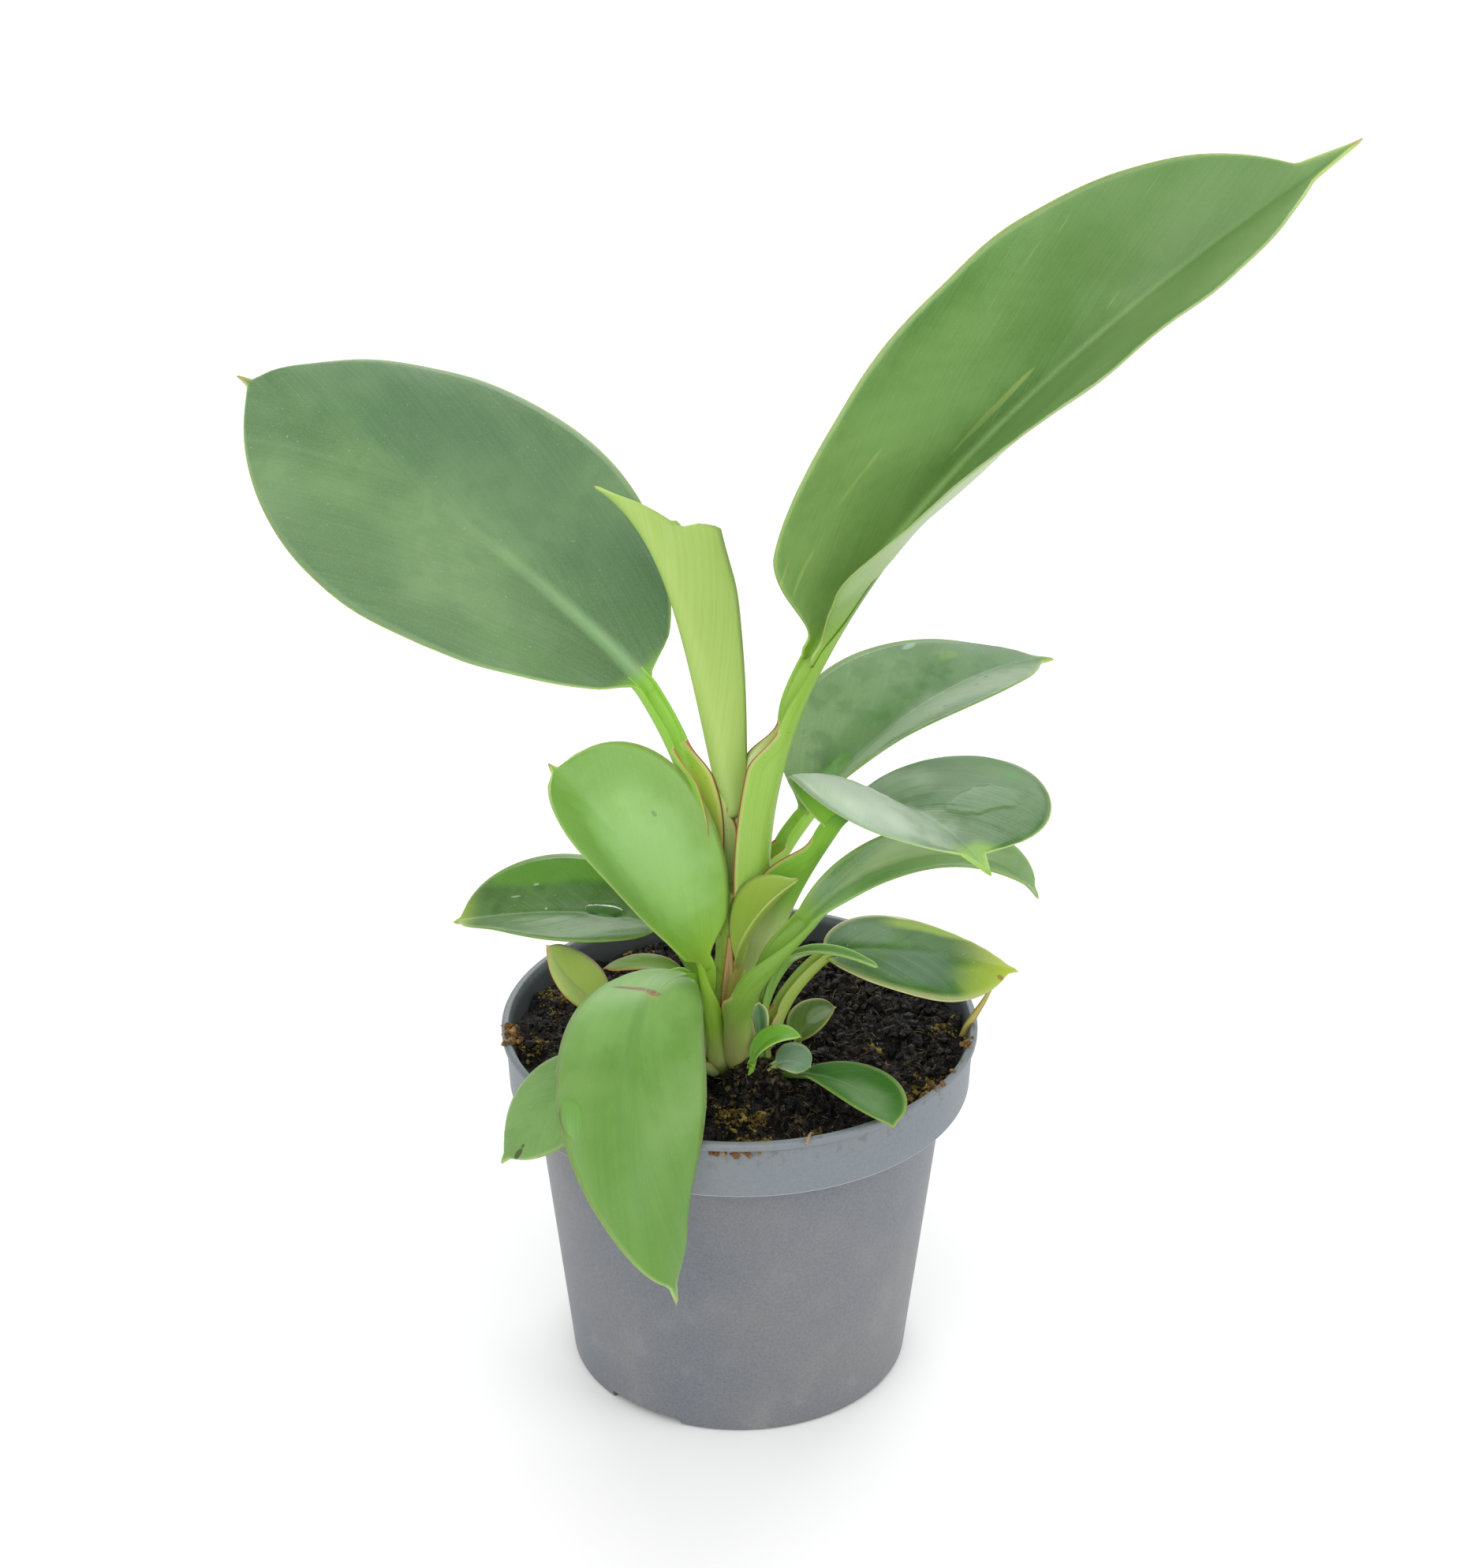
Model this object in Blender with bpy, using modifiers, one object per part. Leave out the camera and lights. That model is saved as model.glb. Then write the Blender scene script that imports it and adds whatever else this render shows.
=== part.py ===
"""Young philodendron in a small round nursery pot.

Each leaf is a stalk and a blade that follow one growth rule: a centre line that
rises from the stem and arches over, and a blade whose halves fold up from it.
Lengths in the tables are millimetres and angles are degrees. The object stands
on the pot's flat underside, with the origin at the middle of that underside.
"""

import math

import bmesh
import bpy
from mathutils import Vector

MM = 0.001
CLEARANCE = 0.3

# Pot: a round nursery pot with a lip, a wide collar and a tapering body.
POT_HEIGHT = 96.0
LIP_RADIUS = 60.0
LIP_WIDTH = 2.6
LIP_DEPTH = 2.8
LIP_OVERHANG = 0.9
COLLAR_RADIUS = 58.3
COLLAR_DEPTH = 16.0
BODY_TOP_RADIUS = 52.1
FOOT_RADIUS = 43.4
FOOT_ROUND = 1.6
WALL = 1.2
FLOOR = 2.0
EDGE_ROUND = 0.5
STEP_RISE = 0.8
COLLAR_INSIDE_RADIUS = COLLAR_RADIUS - WALL - EDGE_ROUND
STEP_HEIGHT = POT_HEIGHT - COLLAR_DEPTH - STEP_RISE + WALL
POT_STEPS = 40

# Drainage: two wide notches in the foot and a ring of round holes in the floor.
NOTCH_SIDES = (236, 56)
NOTCH_WIDTH = 21.0
NOTCH_HEIGHT = 2.4
NOTCH_DEPTH = 6.0
DRAIN_HOLES = 6
DRAIN_HOLE_RADIUS = 4.0
DRAIN_RING_RADIUS = 26.0
DRAIN_STEPS = 16

# Soil: filled to a finger's breadth below the lip, heaped in front of the stem.
SOIL_TOP = 88.0
SOIL_BOTTOM = FLOOR + 0.7
SOIL_ROUGHNESS = 0.4
SOIL_FLAT = 12.0
SOIL_RAMP = 4.0
SAME_LEVEL = 0.01
MOUND_PLACE = (5.0, -26.0)
MOUND_HEIGHT = 5.5
MOUND_RADIUS = 9.0
SOIL_RINGS = 7

# Stem: one short upright column that carries all the leaves.
STEM_PLACE = (-1.0, -11.0)
STEM_FOOT_RADIUS = 5.6
STEM_TOP_RADIUS = 4.6
STEM_FOOT = SOIL_TOP + CLEARANCE
STEM_TOP = 139.5
STEM_STEPS = 16
STEM_RINGS = 4

# Leaves.
# foot: side of the stem and height, or side, distance from the stem's axis and height
# stalk: length, then radius at the foot and at the blade
# blade: length and width across both halves laid flat
# heading and rise: compass and climb at the foot, at the blade's base and at its tip
# bend: how late along the blade the arching comes
# roll: tilt about the centre line, at the base and at the tip
# fold: how steeply the halves stand up, at the base and at the tip
# curl: extra turn across each half, at the base and at the tip
# widest and fullness: where the blade is widest and how round its outline is
# tip: share of the length that is the drawn-out tip, and that tip's half width
# keel: radius of the groove along the midrib
LEAVES = {
    "tall_right": dict(
        foot=(342, 4.7, 140), stalk=(65, 3.4, 3.0), blade=(176, 81),
        heading=(24, -9, 26), rise=(89, 64, 25), bend=0.85,
        roll=(-63, -20), fold=(71, 20), curl=(27, 17),
        widest=0.37, fullness=1.05, tip=(0.09, 3.1), keel=2.0,
    ),
    "broad_left": dict(
        foot=(192, 5.4, 140), stalk=(53, 2.8, 2.8), blade=(128, 77),
        heading=(147, 146, 163), rise=(87, 49, 25), bend=0.20,
        roll=(21, 32), fold=(18, -5), curl=(5, -12),
        widest=0.50, fullness=1.30, tip=(0.03, 1.4), keel=2.0,
    ),
    "new_leaf": dict(
        foot=(97, 4.2, 140.1), stalk=(20, 2.6, 2.8), blade=(93, 31),
        heading=(175, 180, 204), rise=(85, 79, 36), bend=3.90,
        roll=(-5, -15), fold=(90, 69), curl=(26, 12),
        widest=0.70, fullness=0.75, tip=(0.23, 9.5), keel=3.0,
    ),
    "front_bright": dict(
        foot=(239, 95), stalk=(27, 2.0, 2.2), blade=(66, 45),
        heading=(250, 182, 165), rise=(78, 84, 44), bend=0.35,
        roll=(46, 22), fold=(38, 21), curl=(19, 15),
        widest=0.65, fullness=1.20, tip=(0.04, 1.5), keel=1.8,
    ),
    "left_dark": dict(
        foot=(142, 98.5), stalk=(29, 2.0, 2.0), blade=(54, 34),
        heading=(160, 163, 177), rise=(86, 39, -13), bend=0.20,
        roll=(25, 3), fold=(18, 22), curl=(-13, 9),
        widest=0.55, fullness=1.20, tip=(0.04, 1.5), keel=1.6,
    ),
    "front_droop": dict(
        foot=(207, 97.5), stalk=(21, 2.2, 2.2), blade=(103, 37),
        heading=(196, 232, 321), rise=(87, 64, -78), bend=0.45,
        roll=(5, 11), fold=(-7, -2), curl=(-21, -12),
        widest=0.50, fullness=1.25, tip=(0.05, 1.5), keel=1.8,
    ),
    "rim_left": dict(
        foot=(227, 7.1, 90.5), stalk=(27, 1.8, 1.8), blade=(44, 29),
        heading=(218, 218, 209), rise=(39, 12, -51), bend=0.85,
        roll=(5, 2), fold=(8, -3), curl=(-9, -13),
        widest=0.50, fullness=1.25, tip=(0.05, 1.5), keel=1.5,
    ),
    "back_right": dict(
        foot=(59, 129), stalk=(26, 2.8, 2.5), blade=(85, 48),
        heading=(38, 31, 36), rise=(67, 44, -14), bend=1.15,
        roll=(6, -5), fold=(37, 7), curl=(2, -4),
        widest=0.40, fullness=1.55, tip=(0.05, 1.5), keel=2.0,
    ),
    "glossy_right": dict(
        foot=(334, 127.5), stalk=(42, 3.0, 2.4), blade=(74, 63),
        heading=(-14, -57, -64), rise=(70, 53, -12), bend=0.70,
        roll=(4, 13), fold=(75, 2), curl=(-87, -2),
        widest=0.65, fullness=1.25, tip=(0.14, 1.7), keel=2.0,
    ),
    "strap_right": dict(
        foot=(278, 96.5), stalk=(53, 3.0, 3.0), blade=(70, 15),
        heading=(-115, 13, 22), rise=(73, 49, -59), bend=1.05,
        roll=(-42, -29), fold=(42, 27), curl=(-4, 10),
        widest=0.55, fullness=0.85, tip=(0.05, 1.5), keel=1.8,
    ),
    "low_right": dict(
        foot=(354, 97.5), stalk=(26, 2.4, 2.0), blade=(51, 33),
        heading=(18, 14, 6), rise=(75, 36, -20), bend=0.20,
        roll=(-6, -16), fold=(6, -9), curl=(-7, -18),
        widest=0.45, fullness=1.20, tip=(0.05, 1.5), keel=1.6,
    ),
}

# Small leaves and sprouts, each one solid from its foot to its tip.
SMALL_LEAVES = {
    "leaf_small_left": dict(
        foot=(196, 6.4, 92.5), stalk=(30, 1.2, 1.5), blade=(23, 19),
        heading=(191, 180, 178), rise=(39, 25, 68), bend=0.85,
        roll=(15, 11), fold=(21, 8), curl=(-3, -8),
        widest=0.45, fullness=1.00, tip=(0.05, 1.5), keel=1.2,
    ),
    "leaf_small_arch": dict(
        foot=(177, 94.5), stalk=(18, 1.0, 1.0), blade=(23, 10),
        heading=(181, 180, 179), rise=(87, 59, -23), bend=0.75,
        roll=(-2, -5), fold=(22, -1), curl=(1, -8),
        widest=0.50, fullness=0.90, tip=(0.05, 0.6), keel=1.0,
    ),
    "leaf_small_right": dict(
        foot=(321, 100.5), stalk=(22, 1.6, 1.6), blade=(24, 5),
        heading=(64, -18, -10), rise=(82, 55, -25), bend=0.50,
        roll=(-3, 2), fold=(35, 16), curl=(-5, -6),
        widest=0.45, fullness=1.15, tip=(0.05, 1.4), keel=1.0,
    ),
    "leaf_front_right": dict(
        foot=(308, 6.6, 89.3), stalk=(14, 1.4, 1.4), blade=(44, 18),
        heading=(-18, -38, -80), rise=(18, 16, 2), bend=0.95,
        roll=(6, 0), fold=(22, 6), curl=(0, 0),
        widest=0.50, fullness=1.20, tip=(0.05, 1.4), keel=1.2,
    ),
    "bract": dict(
        foot=(254, 107.5), stalk=(16, 1.2, 1.4), blade=(32, 20),
        heading=(-66, -44, -6), rise=(73, 75, 45), bend=0.95,
        roll=(-54, -10), fold=(23, 34), curl=(4, 13),
        widest=0.50, fullness=1.55, tip=(0.05, 1.5), keel=1.2,
    ),
    "sprout_bright": dict(
        foot=(281, 16.9, 91.6), stalk=(7.6, 1.0, 1.0), blade=(16, 8),
        heading=(18, 12, 4), rise=(88, 78, -28), bend=1.10,
        roll=(-11, -4), fold=(22, 10), curl=(1, 0),
        widest=0.55, fullness=1.15, tip=(0.05, 0.6), keel=0.8,
    ),
    "sprout_dark": dict(
        foot=(290, 17.9, 92.2), stalk=(8, 1.0, 1.0), blade=(9, 12),
        heading=(7, 2, -22), rise=(88, 30, -26), bend=0.90,
        roll=(-7, -10), fold=(23, 5), curl=(2, -4),
        widest=0.50, fullness=1.00, tip=(0.05, 0.6), keel=0.8,
    ),
    "sprout_netted": dict(
        foot=(338, 13.6, 89.0), stalk=(9, 1.0, 1.0), blade=(14, 12),
        heading=(42, 68, 8), rise=(66, 40, 8), bend=0.95,
        roll=(-2, -2), fold=(18, 13), curl=(-1, 2),
        widest=0.55, fullness=1.10, tip=(0.05, 0.6), keel=0.8,
    ),
    "sprout_upright": dict(
        foot=(297, 14.4, 91.6), stalk=(9, 1.0, 1.0), blade=(11, 5),
        heading=(79, 103, 93), rise=(76, 58, 69), bend=1.00,
        roll=(4, 4), fold=(18, 9), curl=(-1, -1),
        widest=0.65, fullness=1.20, tip=(0.05, 0.6), keel=0.8,
    ),
}

# How finely the leaves are made: rows along a blade and columns in each half,
# for blades of at least the length given.
BLADE_STEPS = 48
BLADE_GRIDS = ((110, 24, 4), (60, 16, 4), (0, 12, 3))
SMALL_GRID_ROWS = 8
SMALL_GRID_COLUMNS = 2
STALK_STEPS = 12
STALK_ROWS = 4
COLUMN_SPREAD = 1.5
COLUMN_STEPS = 4
NARROWEST = 0.4
STALK_END_GAP = 0.7
THINNEST = 0.8
THICKNESS_SHARE = 0.011
BASE_FADE = 0.3

# Finishes: colour, roughness.
FINISHES = {
    "pot_plastic": ((0.24, 0.25, 0.28), 0.50),
    "potting_soil": ((0.012, 0.010, 0.008), 0.95),
    "stem_green": ((0.30, 0.45, 0.09), 0.45),
    "stalk_green": ((0.29, 0.50, 0.08), 0.42),
    "leaf_green": ((0.12, 0.29, 0.07), 0.38),
    "young_leaf_green": ((0.36, 0.60, 0.16), 0.42),
}


def clear_scene():
    for old in list(bpy.data.objects):
        bpy.data.objects.remove(old, do_unlink=True)


def new_collection(name):
    collection = bpy.data.collections.new(name)
    bpy.context.scene.collection.children.link(collection)
    return collection


def make_finishes():
    finishes = {}
    for name, (colour, roughness) in FINISHES.items():
        material = bpy.data.materials.new(name)
        material.use_nodes = True
        shader = material.node_tree.nodes["Principled BSDF"]
        shader.inputs["Base Color"].default_value = (*colour, 1.0)
        shader.inputs["Roughness"].default_value = roughness
        shader.inputs["Metallic"].default_value = 0.0
        finishes[name] = material
    return finishes


def add_object(name, data, collection, material=None):
    obj = bpy.data.objects.new(name, data)
    if material:
        data.materials.append(material)
    collection.objects.link(obj)
    return obj


def mesh_of(obj):
    """The object's evaluated shape as a plain mesh; the object is removed."""
    depsgraph = bpy.context.evaluated_depsgraph_get()
    mesh = bpy.data.meshes.new_from_object(obj.evaluated_get(depsgraph))
    bpy.data.objects.remove(obj, do_unlink=True)
    return mesh


def turned(name, profile, steps, collection):
    """A profile of (radius, height) pairs, top to bottom, turned about the Z axis."""
    mesh = bpy.data.meshes.new(name)
    points = [(radius * MM, 0.0, height * MM) for radius, height in profile]
    edges = [(i, i + 1) for i in range(len(points) - 1)]
    mesh.from_pydata(points, edges, [])
    obj = add_object(name, mesh, collection)
    screw = obj.modifiers.new("turn", "SCREW")
    screw.steps = steps
    screw.render_steps = steps
    screw.use_merge_vertices = True
    screw.merge_threshold = 0.00005
    return obj


def subtract(obj, cutter):
    cut = obj.modifiers.new("cut_" + cutter.name, "BOOLEAN")
    cut.operation = "DIFFERENCE"
    cut.solver = "EXACT"
    cut.object = cutter
    cutter.hide_render = True
    cutter.display_type = "WIRE"


def pot_profile():
    """Outer side from the lip down, across the underside, and up the inner side."""
    collar_foot = POT_HEIGHT - COLLAR_DEPTH
    lip_foot = POT_HEIGHT - LIP_DEPTH
    return [
        (LIP_RADIUS - LIP_WIDTH, POT_HEIGHT),
        (LIP_RADIUS - EDGE_ROUND, POT_HEIGHT),
        (LIP_RADIUS, POT_HEIGHT - EDGE_ROUND),
        (LIP_RADIUS, lip_foot + EDGE_ROUND),
        (LIP_RADIUS - LIP_OVERHANG, lip_foot),
        (COLLAR_RADIUS, collar_foot + EDGE_ROUND),
        (COLLAR_RADIUS - EDGE_ROUND, collar_foot),
        (BODY_TOP_RADIUS, collar_foot - STEP_RISE),
        (FOOT_RADIUS, FOOT_ROUND),
        (FOOT_RADIUS - FOOT_ROUND / 3, FOOT_ROUND / 3),
        (FOOT_RADIUS - FOOT_ROUND, 0.0),
        (0.0, 0.0),
        (0.0, FLOOR),
        (inner_radius(FLOOR), FLOOR),
        (inner_radius(STEP_HEIGHT), STEP_HEIGHT),
        (COLLAR_INSIDE_RADIUS, STEP_HEIGHT + STEP_RISE),
        (COLLAR_INSIDE_RADIUS, lip_foot - LIP_WIDTH),
        (LIP_RADIUS - LIP_WIDTH, POT_HEIGHT),
    ]


def inner_radius(height):
    """Inside radius of the tapering body at a height."""
    top = POT_HEIGHT - COLLAR_DEPTH - STEP_RISE
    share = (height - FOOT_ROUND) / (top - FOOT_ROUND)
    return FOOT_RADIUS + (BODY_TOP_RADIUS - FOOT_RADIUS) * share - WALL


def make_pot(collection, cutters, finishes):
    pot = turned("pot", pot_profile(), POT_STEPS, collection)
    pot.data.materials.append(finishes["pot_plastic"])
    for index, side in enumerate(NOTCH_SIDES):
        subtract(pot, make_notch_cutter(index, side, cutters))
    subtract(pot, make_drain_cutter(cutters))
    return pot


def make_notch_cutter(index, side, cutters):
    """A box across the foot, as wide as the notch."""
    mesh = bpy.data.meshes.new("notch_cutter_%d" % index)
    shape = bmesh.new()
    bmesh.ops.create_cube(shape, size=1.0)
    bmesh.ops.scale(
        shape, verts=shape.verts,
        vec=(2 * NOTCH_DEPTH * MM, NOTCH_WIDTH * MM, 2 * NOTCH_HEIGHT * MM),
    )
    shape.to_mesh(mesh)
    shape.free()
    cutter = add_object(mesh.name, mesh, cutters)
    angle = math.radians(side)
    reach = FOOT_RADIUS * MM
    cutter.location = (reach * math.cos(angle), reach * math.sin(angle), 0.0)
    cutter.rotation_euler = (0.0, 0.0, angle)
    return cutter


def make_drain_cutter(cutters):
    """A ring of round pegs that pass through the pot's floor."""
    mesh = bpy.data.meshes.new("drain_cutter")
    shape = bmesh.new()
    for index in range(DRAIN_HOLES):
        angle = math.tau * index / DRAIN_HOLES
        made = bmesh.ops.create_cone(
            shape, cap_ends=True, segments=DRAIN_STEPS, depth=4 * FLOOR * MM,
            radius1=DRAIN_HOLE_RADIUS * MM, radius2=DRAIN_HOLE_RADIUS * MM,
        )
        place = Vector((math.cos(angle), math.sin(angle), 0.0)) * DRAIN_RING_RADIUS * MM
        bmesh.ops.translate(shape, verts=made["verts"], vec=place)
    shape.to_mesh(mesh)
    shape.free()
    return add_object("drain_cutter", mesh, cutters)


def soil_height(x, y):
    """Height of the soil's surface: gently uneven, flat at the stem, heaped before it."""
    from_stem = math.hypot(x - STEM_PLACE[0], y - STEM_PLACE[1])
    loose = min(1.0, max(0.0, from_stem - SOIL_FLAT) / SOIL_RAMP)
    ripple = math.sin(0.31 * x + 1.0) * math.cos(0.27 * y) + math.sin(0.13 * x - 0.19 * y)
    from_mound = math.hypot(x - MOUND_PLACE[0], y - MOUND_PLACE[1])
    mound = MOUND_HEIGHT * math.exp(-((from_mound / MOUND_RADIUS) ** 2))
    return SOIL_TOP + loose * (SOIL_ROUGHNESS * ripple + mound)


def soil_profile():
    """Rings of the top from the middle outwards, then the side and the underside."""
    top_radius = COLLAR_INSIDE_RADIUS - CLEARANCE
    rings = [(top_radius * i / SOIL_RINGS, SOIL_TOP) for i in range(SOIL_RINGS + 1)]
    return rings + [
        (top_radius, STEP_HEIGHT + STEP_RISE + CLEARANCE),
        (inner_radius(STEP_HEIGHT) - CLEARANCE, STEP_HEIGHT + CLEARANCE),
        (inner_radius(SOIL_BOTTOM) - CLEARANCE, SOIL_BOTTOM),
        (0.0, SOIL_BOTTOM),
    ]


def make_soil(collection, finishes):
    mesh = mesh_of(turned("soil_blank", soil_profile(), POT_STEPS, collection))
    mesh.name = "soil"
    for vertex in mesh.vertices:
        if vertex.co.z > (SOIL_TOP - SAME_LEVEL) * MM:
            vertex.co.z = soil_height(vertex.co.x / MM, vertex.co.y / MM) * MM
    return add_object("soil", mesh, collection, finishes["potting_soil"])


def stem_radius(height):
    share = (height - STEM_FOOT) / (STEM_TOP - STEM_FOOT)
    return STEM_FOOT_RADIUS + (STEM_TOP_RADIUS - STEM_FOOT_RADIUS) * share


def make_stem(collection, finishes):
    """A tapering column from its flat cut at the soil to where the top leaves part."""
    rings = []
    for index in range(STEM_RINGS + 1):
        height = STEM_TOP + (STEM_FOOT - STEM_TOP) * index / STEM_RINGS
        rings.append((stem_radius(height), height))
    profile = [(0.0, STEM_TOP)] + rings + [(0.0, STEM_FOOT)]
    stem = turned("stem", profile, STEM_STEPS, collection)
    stem.location = (STEM_PLACE[0] * MM, STEM_PLACE[1] * MM, 0.0)
    stem.data.materials.append(finishes["stem_green"])
    return stem


def blend(ends, share):
    return ends[0] + (ends[1] - ends[0]) * share


def direction(rise, heading):
    rise = math.radians(rise)
    heading = math.radians(heading)
    flat = math.cos(rise)
    return Vector((flat * math.cos(heading), flat * math.sin(heading), math.sin(rise)))


def foot_point(leaf):
    """Where the stalk starts: beside the stem, or at its own distance from the axis."""
    side = math.radians(leaf["foot"][0])
    height = leaf["foot"][-1]
    if len(leaf["foot"]) == 3:
        out = leaf["foot"][1]
    else:
        out = stem_radius(height) + CLEARANCE + leaf["stalk"][1]
    x = STEM_PLACE[0] + out * math.cos(side)
    y = STEM_PLACE[1] + out * math.sin(side)
    return Vector((x, y, height))


def stalk_line(leaf):
    """Points along the stalk, with the rise and heading at each."""
    length = leaf["stalk"][0]
    point = foot_point(leaf)
    line = [(point, leaf["rise"][0], leaf["heading"][0])]
    for step in range(STALK_STEPS):
        middle = (step + 0.5) / STALK_STEPS
        rise = blend(leaf["rise"], middle)
        heading = blend(leaf["heading"], middle)
        point = point + direction(rise, heading) * length / STALK_STEPS
        end = (step + 1) / STALK_STEPS
        line.append((point, blend(leaf["rise"], end), blend(leaf["heading"], end)))
    return line


def blade_line(leaf):
    """Points along the blade's midrib, with the rise and heading at each."""
    point = stalk_line(leaf)[-1][0]
    rises = leaf["rise"][1:]
    headings = leaf["heading"][1:]
    line = [(point, rises[0], headings[0])]
    for step in range(BLADE_STEPS):
        middle = (step + 0.5) / BLADE_STEPS
        rise = blend(rises, middle ** leaf["bend"])
        heading = blend(headings, middle)
        point = point + direction(rise, heading) * leaf["blade"][0] / BLADE_STEPS
        end = (step + 1) / BLADE_STEPS
        line.append((point, blend(rises, end ** leaf["bend"]), blend(headings, end)))
    return line


def half_width(leaf, along):
    """Half the blade's width, laid flat, at a share of its length."""
    tip_share, tip_half = leaf["tip"]
    body_end = 1.0 - tip_share
    widest = leaf["widest"]
    body = 0.0
    if 0.0 < along < body_end:
        share = along / body_end
        before = (share / widest) ** (leaf["fullness"] * widest)
        after = ((1.0 - share) / (1.0 - widest)) ** (leaf["fullness"] * (1.0 - widest))
        body = 0.5 * leaf["blade"][1] * before * after
    base = leaf["stalk"][2] * max(0.0, 1.0 - along / BASE_FADE)
    tip = tip_half * min(1.0, (1.0 - along) / tip_share) if along > 0.4 else 0.0
    return max(NARROWEST, (body ** 3 + base ** 3 + tip ** 3) ** (1.0 / 3.0))


def row_of_points(place, width, roll, fold, curl, keel, columns):
    """One row across the blade: a rounded groove at the midrib, then the two halves."""
    point, rise, heading = place
    rise = math.radians(rise)
    heading = math.radians(heading)
    across = Vector((math.sin(heading), -math.cos(heading), 0.0))
    up = Vector((-math.cos(heading) * math.sin(rise), -math.sin(heading) * math.sin(rise), math.cos(rise)))
    side = across * math.cos(roll) + up * math.sin(roll)
    face = up * math.cos(roll) - across * math.sin(roll)
    halves = []
    for sign in (-1.0, 1.0):
        spot = point.copy()
        half = []
        for column in range(columns):
            inner = (column / columns) ** COLUMN_SPREAD
            outer = ((column + 1) / columns) ** COLUMN_SPREAD
            for step in range(COLUMN_STEPS):
                share = inner + (outer - inner) * (step + 0.5) / COLUMN_STEPS
                groove = min(1.0, share * width / max(keel * abs(fold), 0.001))
                angle = fold * groove + curl * share
                stride = width * (outer - inner) / COLUMN_STEPS
                spot = spot + (side * sign * math.cos(angle) + face * math.sin(angle)) * stride
            half.append(spot)
        halves.append(half)
    return list(reversed(halves[0])) + [point] + halves[1]


def blade_rows(leaf, rows, columns):
    line = blade_line(leaf)
    made = []
    for row in range(rows + 1):
        along = row / rows
        made.append(row_of_points(
            line[row * BLADE_STEPS // rows],
            half_width(leaf, along),
            math.radians(blend(leaf["roll"], along)),
            math.radians(blend(leaf["fold"], along)),
            math.radians(blend(leaf["curl"], along)),
            leaf["keel"], columns,
        ))
    return made


def stalk_rows(leaf, columns):
    """A small leaf's stalk as the narrow start of its blade."""
    line = stalk_line(leaf)
    roll = math.radians(leaf["roll"][0])
    made = []
    for row in range(STALK_ROWS):
        share = row / STALK_ROWS
        width = blend(leaf["stalk"][1:], share)
        place = line[row * STALK_STEPS // STALK_ROWS]
        made.append(row_of_points(place, width, roll, 0.0, 0.0, leaf["keel"], columns))
    return made


def make_sheet(name, rows, thickness, collection, material):
    """An open grid of rows, thickened evenly to both sides."""
    shape = bmesh.new()
    grid = [[shape.verts.new(point * MM) for point in row] for row in rows]
    for lower, upper in zip(grid, grid[1:]):
        for i in range(len(lower) - 1):
            shape.faces.new((lower[i], lower[i + 1], upper[i + 1], upper[i]))
    mesh = bpy.data.meshes.new(name)
    shape.to_mesh(mesh)
    shape.free()
    mesh.shade_smooth()
    sheet = add_object(name, mesh, collection, material)
    solidify = sheet.modifiers.new("thickness", "SOLIDIFY")
    solidify.thickness = thickness * MM
    solidify.offset = 0.0
    return sheet


def blade_thickness(leaf):
    return max(THINNEST, THICKNESS_SHARE * leaf["blade"][0])


def blade_grid(leaf):
    for shortest, rows, columns in BLADE_GRIDS:
        if leaf["blade"][0] >= shortest:
            return rows, columns


def make_blade(name, leaf, collection, finishes):
    finish = "young_leaf_green" if name == "new_leaf" else "leaf_green"
    rows, columns = blade_grid(leaf)
    return make_sheet(
        "blade_" + name, blade_rows(leaf, rows, columns),
        blade_thickness(leaf), collection, finishes[finish],
    )


def make_small_leaf(name, leaf, collection, finishes):
    rows = stalk_rows(leaf, SMALL_GRID_COLUMNS)
    rows += blade_rows(leaf, SMALL_GRID_ROWS, SMALL_GRID_COLUMNS)
    return make_sheet(name, rows, THINNEST, collection, finishes["leaf_green"])


def make_stalk(name, leaf, collection, material):
    """A round tapering stalk that stops just short of its blade."""
    line = [place[0] for place in stalk_line(leaf)][::2]
    last = line[-1] - line[-2]
    line[-1] = line[-1] - last.normalized() * STALK_END_GAP
    curve = bpy.data.curves.new(name, "CURVE")
    curve.dimensions = "3D"
    curve.bevel_depth = MM
    curve.bevel_resolution = 2
    curve.use_fill_caps = True
    spline = curve.splines.new("POLY")
    spline.points.add(len(line) - 1)
    for index, point in enumerate(line):
        spline.points[index].co = (*(point * MM), 1.0)
        spline.points[index].radius = blend(leaf["stalk"][1:], index / (len(line) - 1))
    return add_object(name, curve, collection, material)


def main():
    clear_scene()
    finishes = make_finishes()
    plant = new_collection("philodendron")
    cutters = new_collection("cutters")
    make_pot(plant, cutters, finishes)
    make_soil(plant, finishes)
    make_stem(plant, finishes)
    for name, leaf in LEAVES.items():
        make_stalk("stalk_" + name, leaf, plant, finishes["stalk_green"])
        make_blade(name, leaf, plant, finishes)
    for name, leaf in SMALL_LEAVES.items():
        make_small_leaf(name, leaf, plant, finishes)


main()
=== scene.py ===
"""Visual model of a young philodendron in a nursery pot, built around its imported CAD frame.

Sizes are millimetres and angles degrees; meshes are written in metres. The origin is the
middle of the pot's underside, with Z up and the camera on the -Y side.
"""
import math

import bmesh
import bpy
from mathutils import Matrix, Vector, noise


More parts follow.
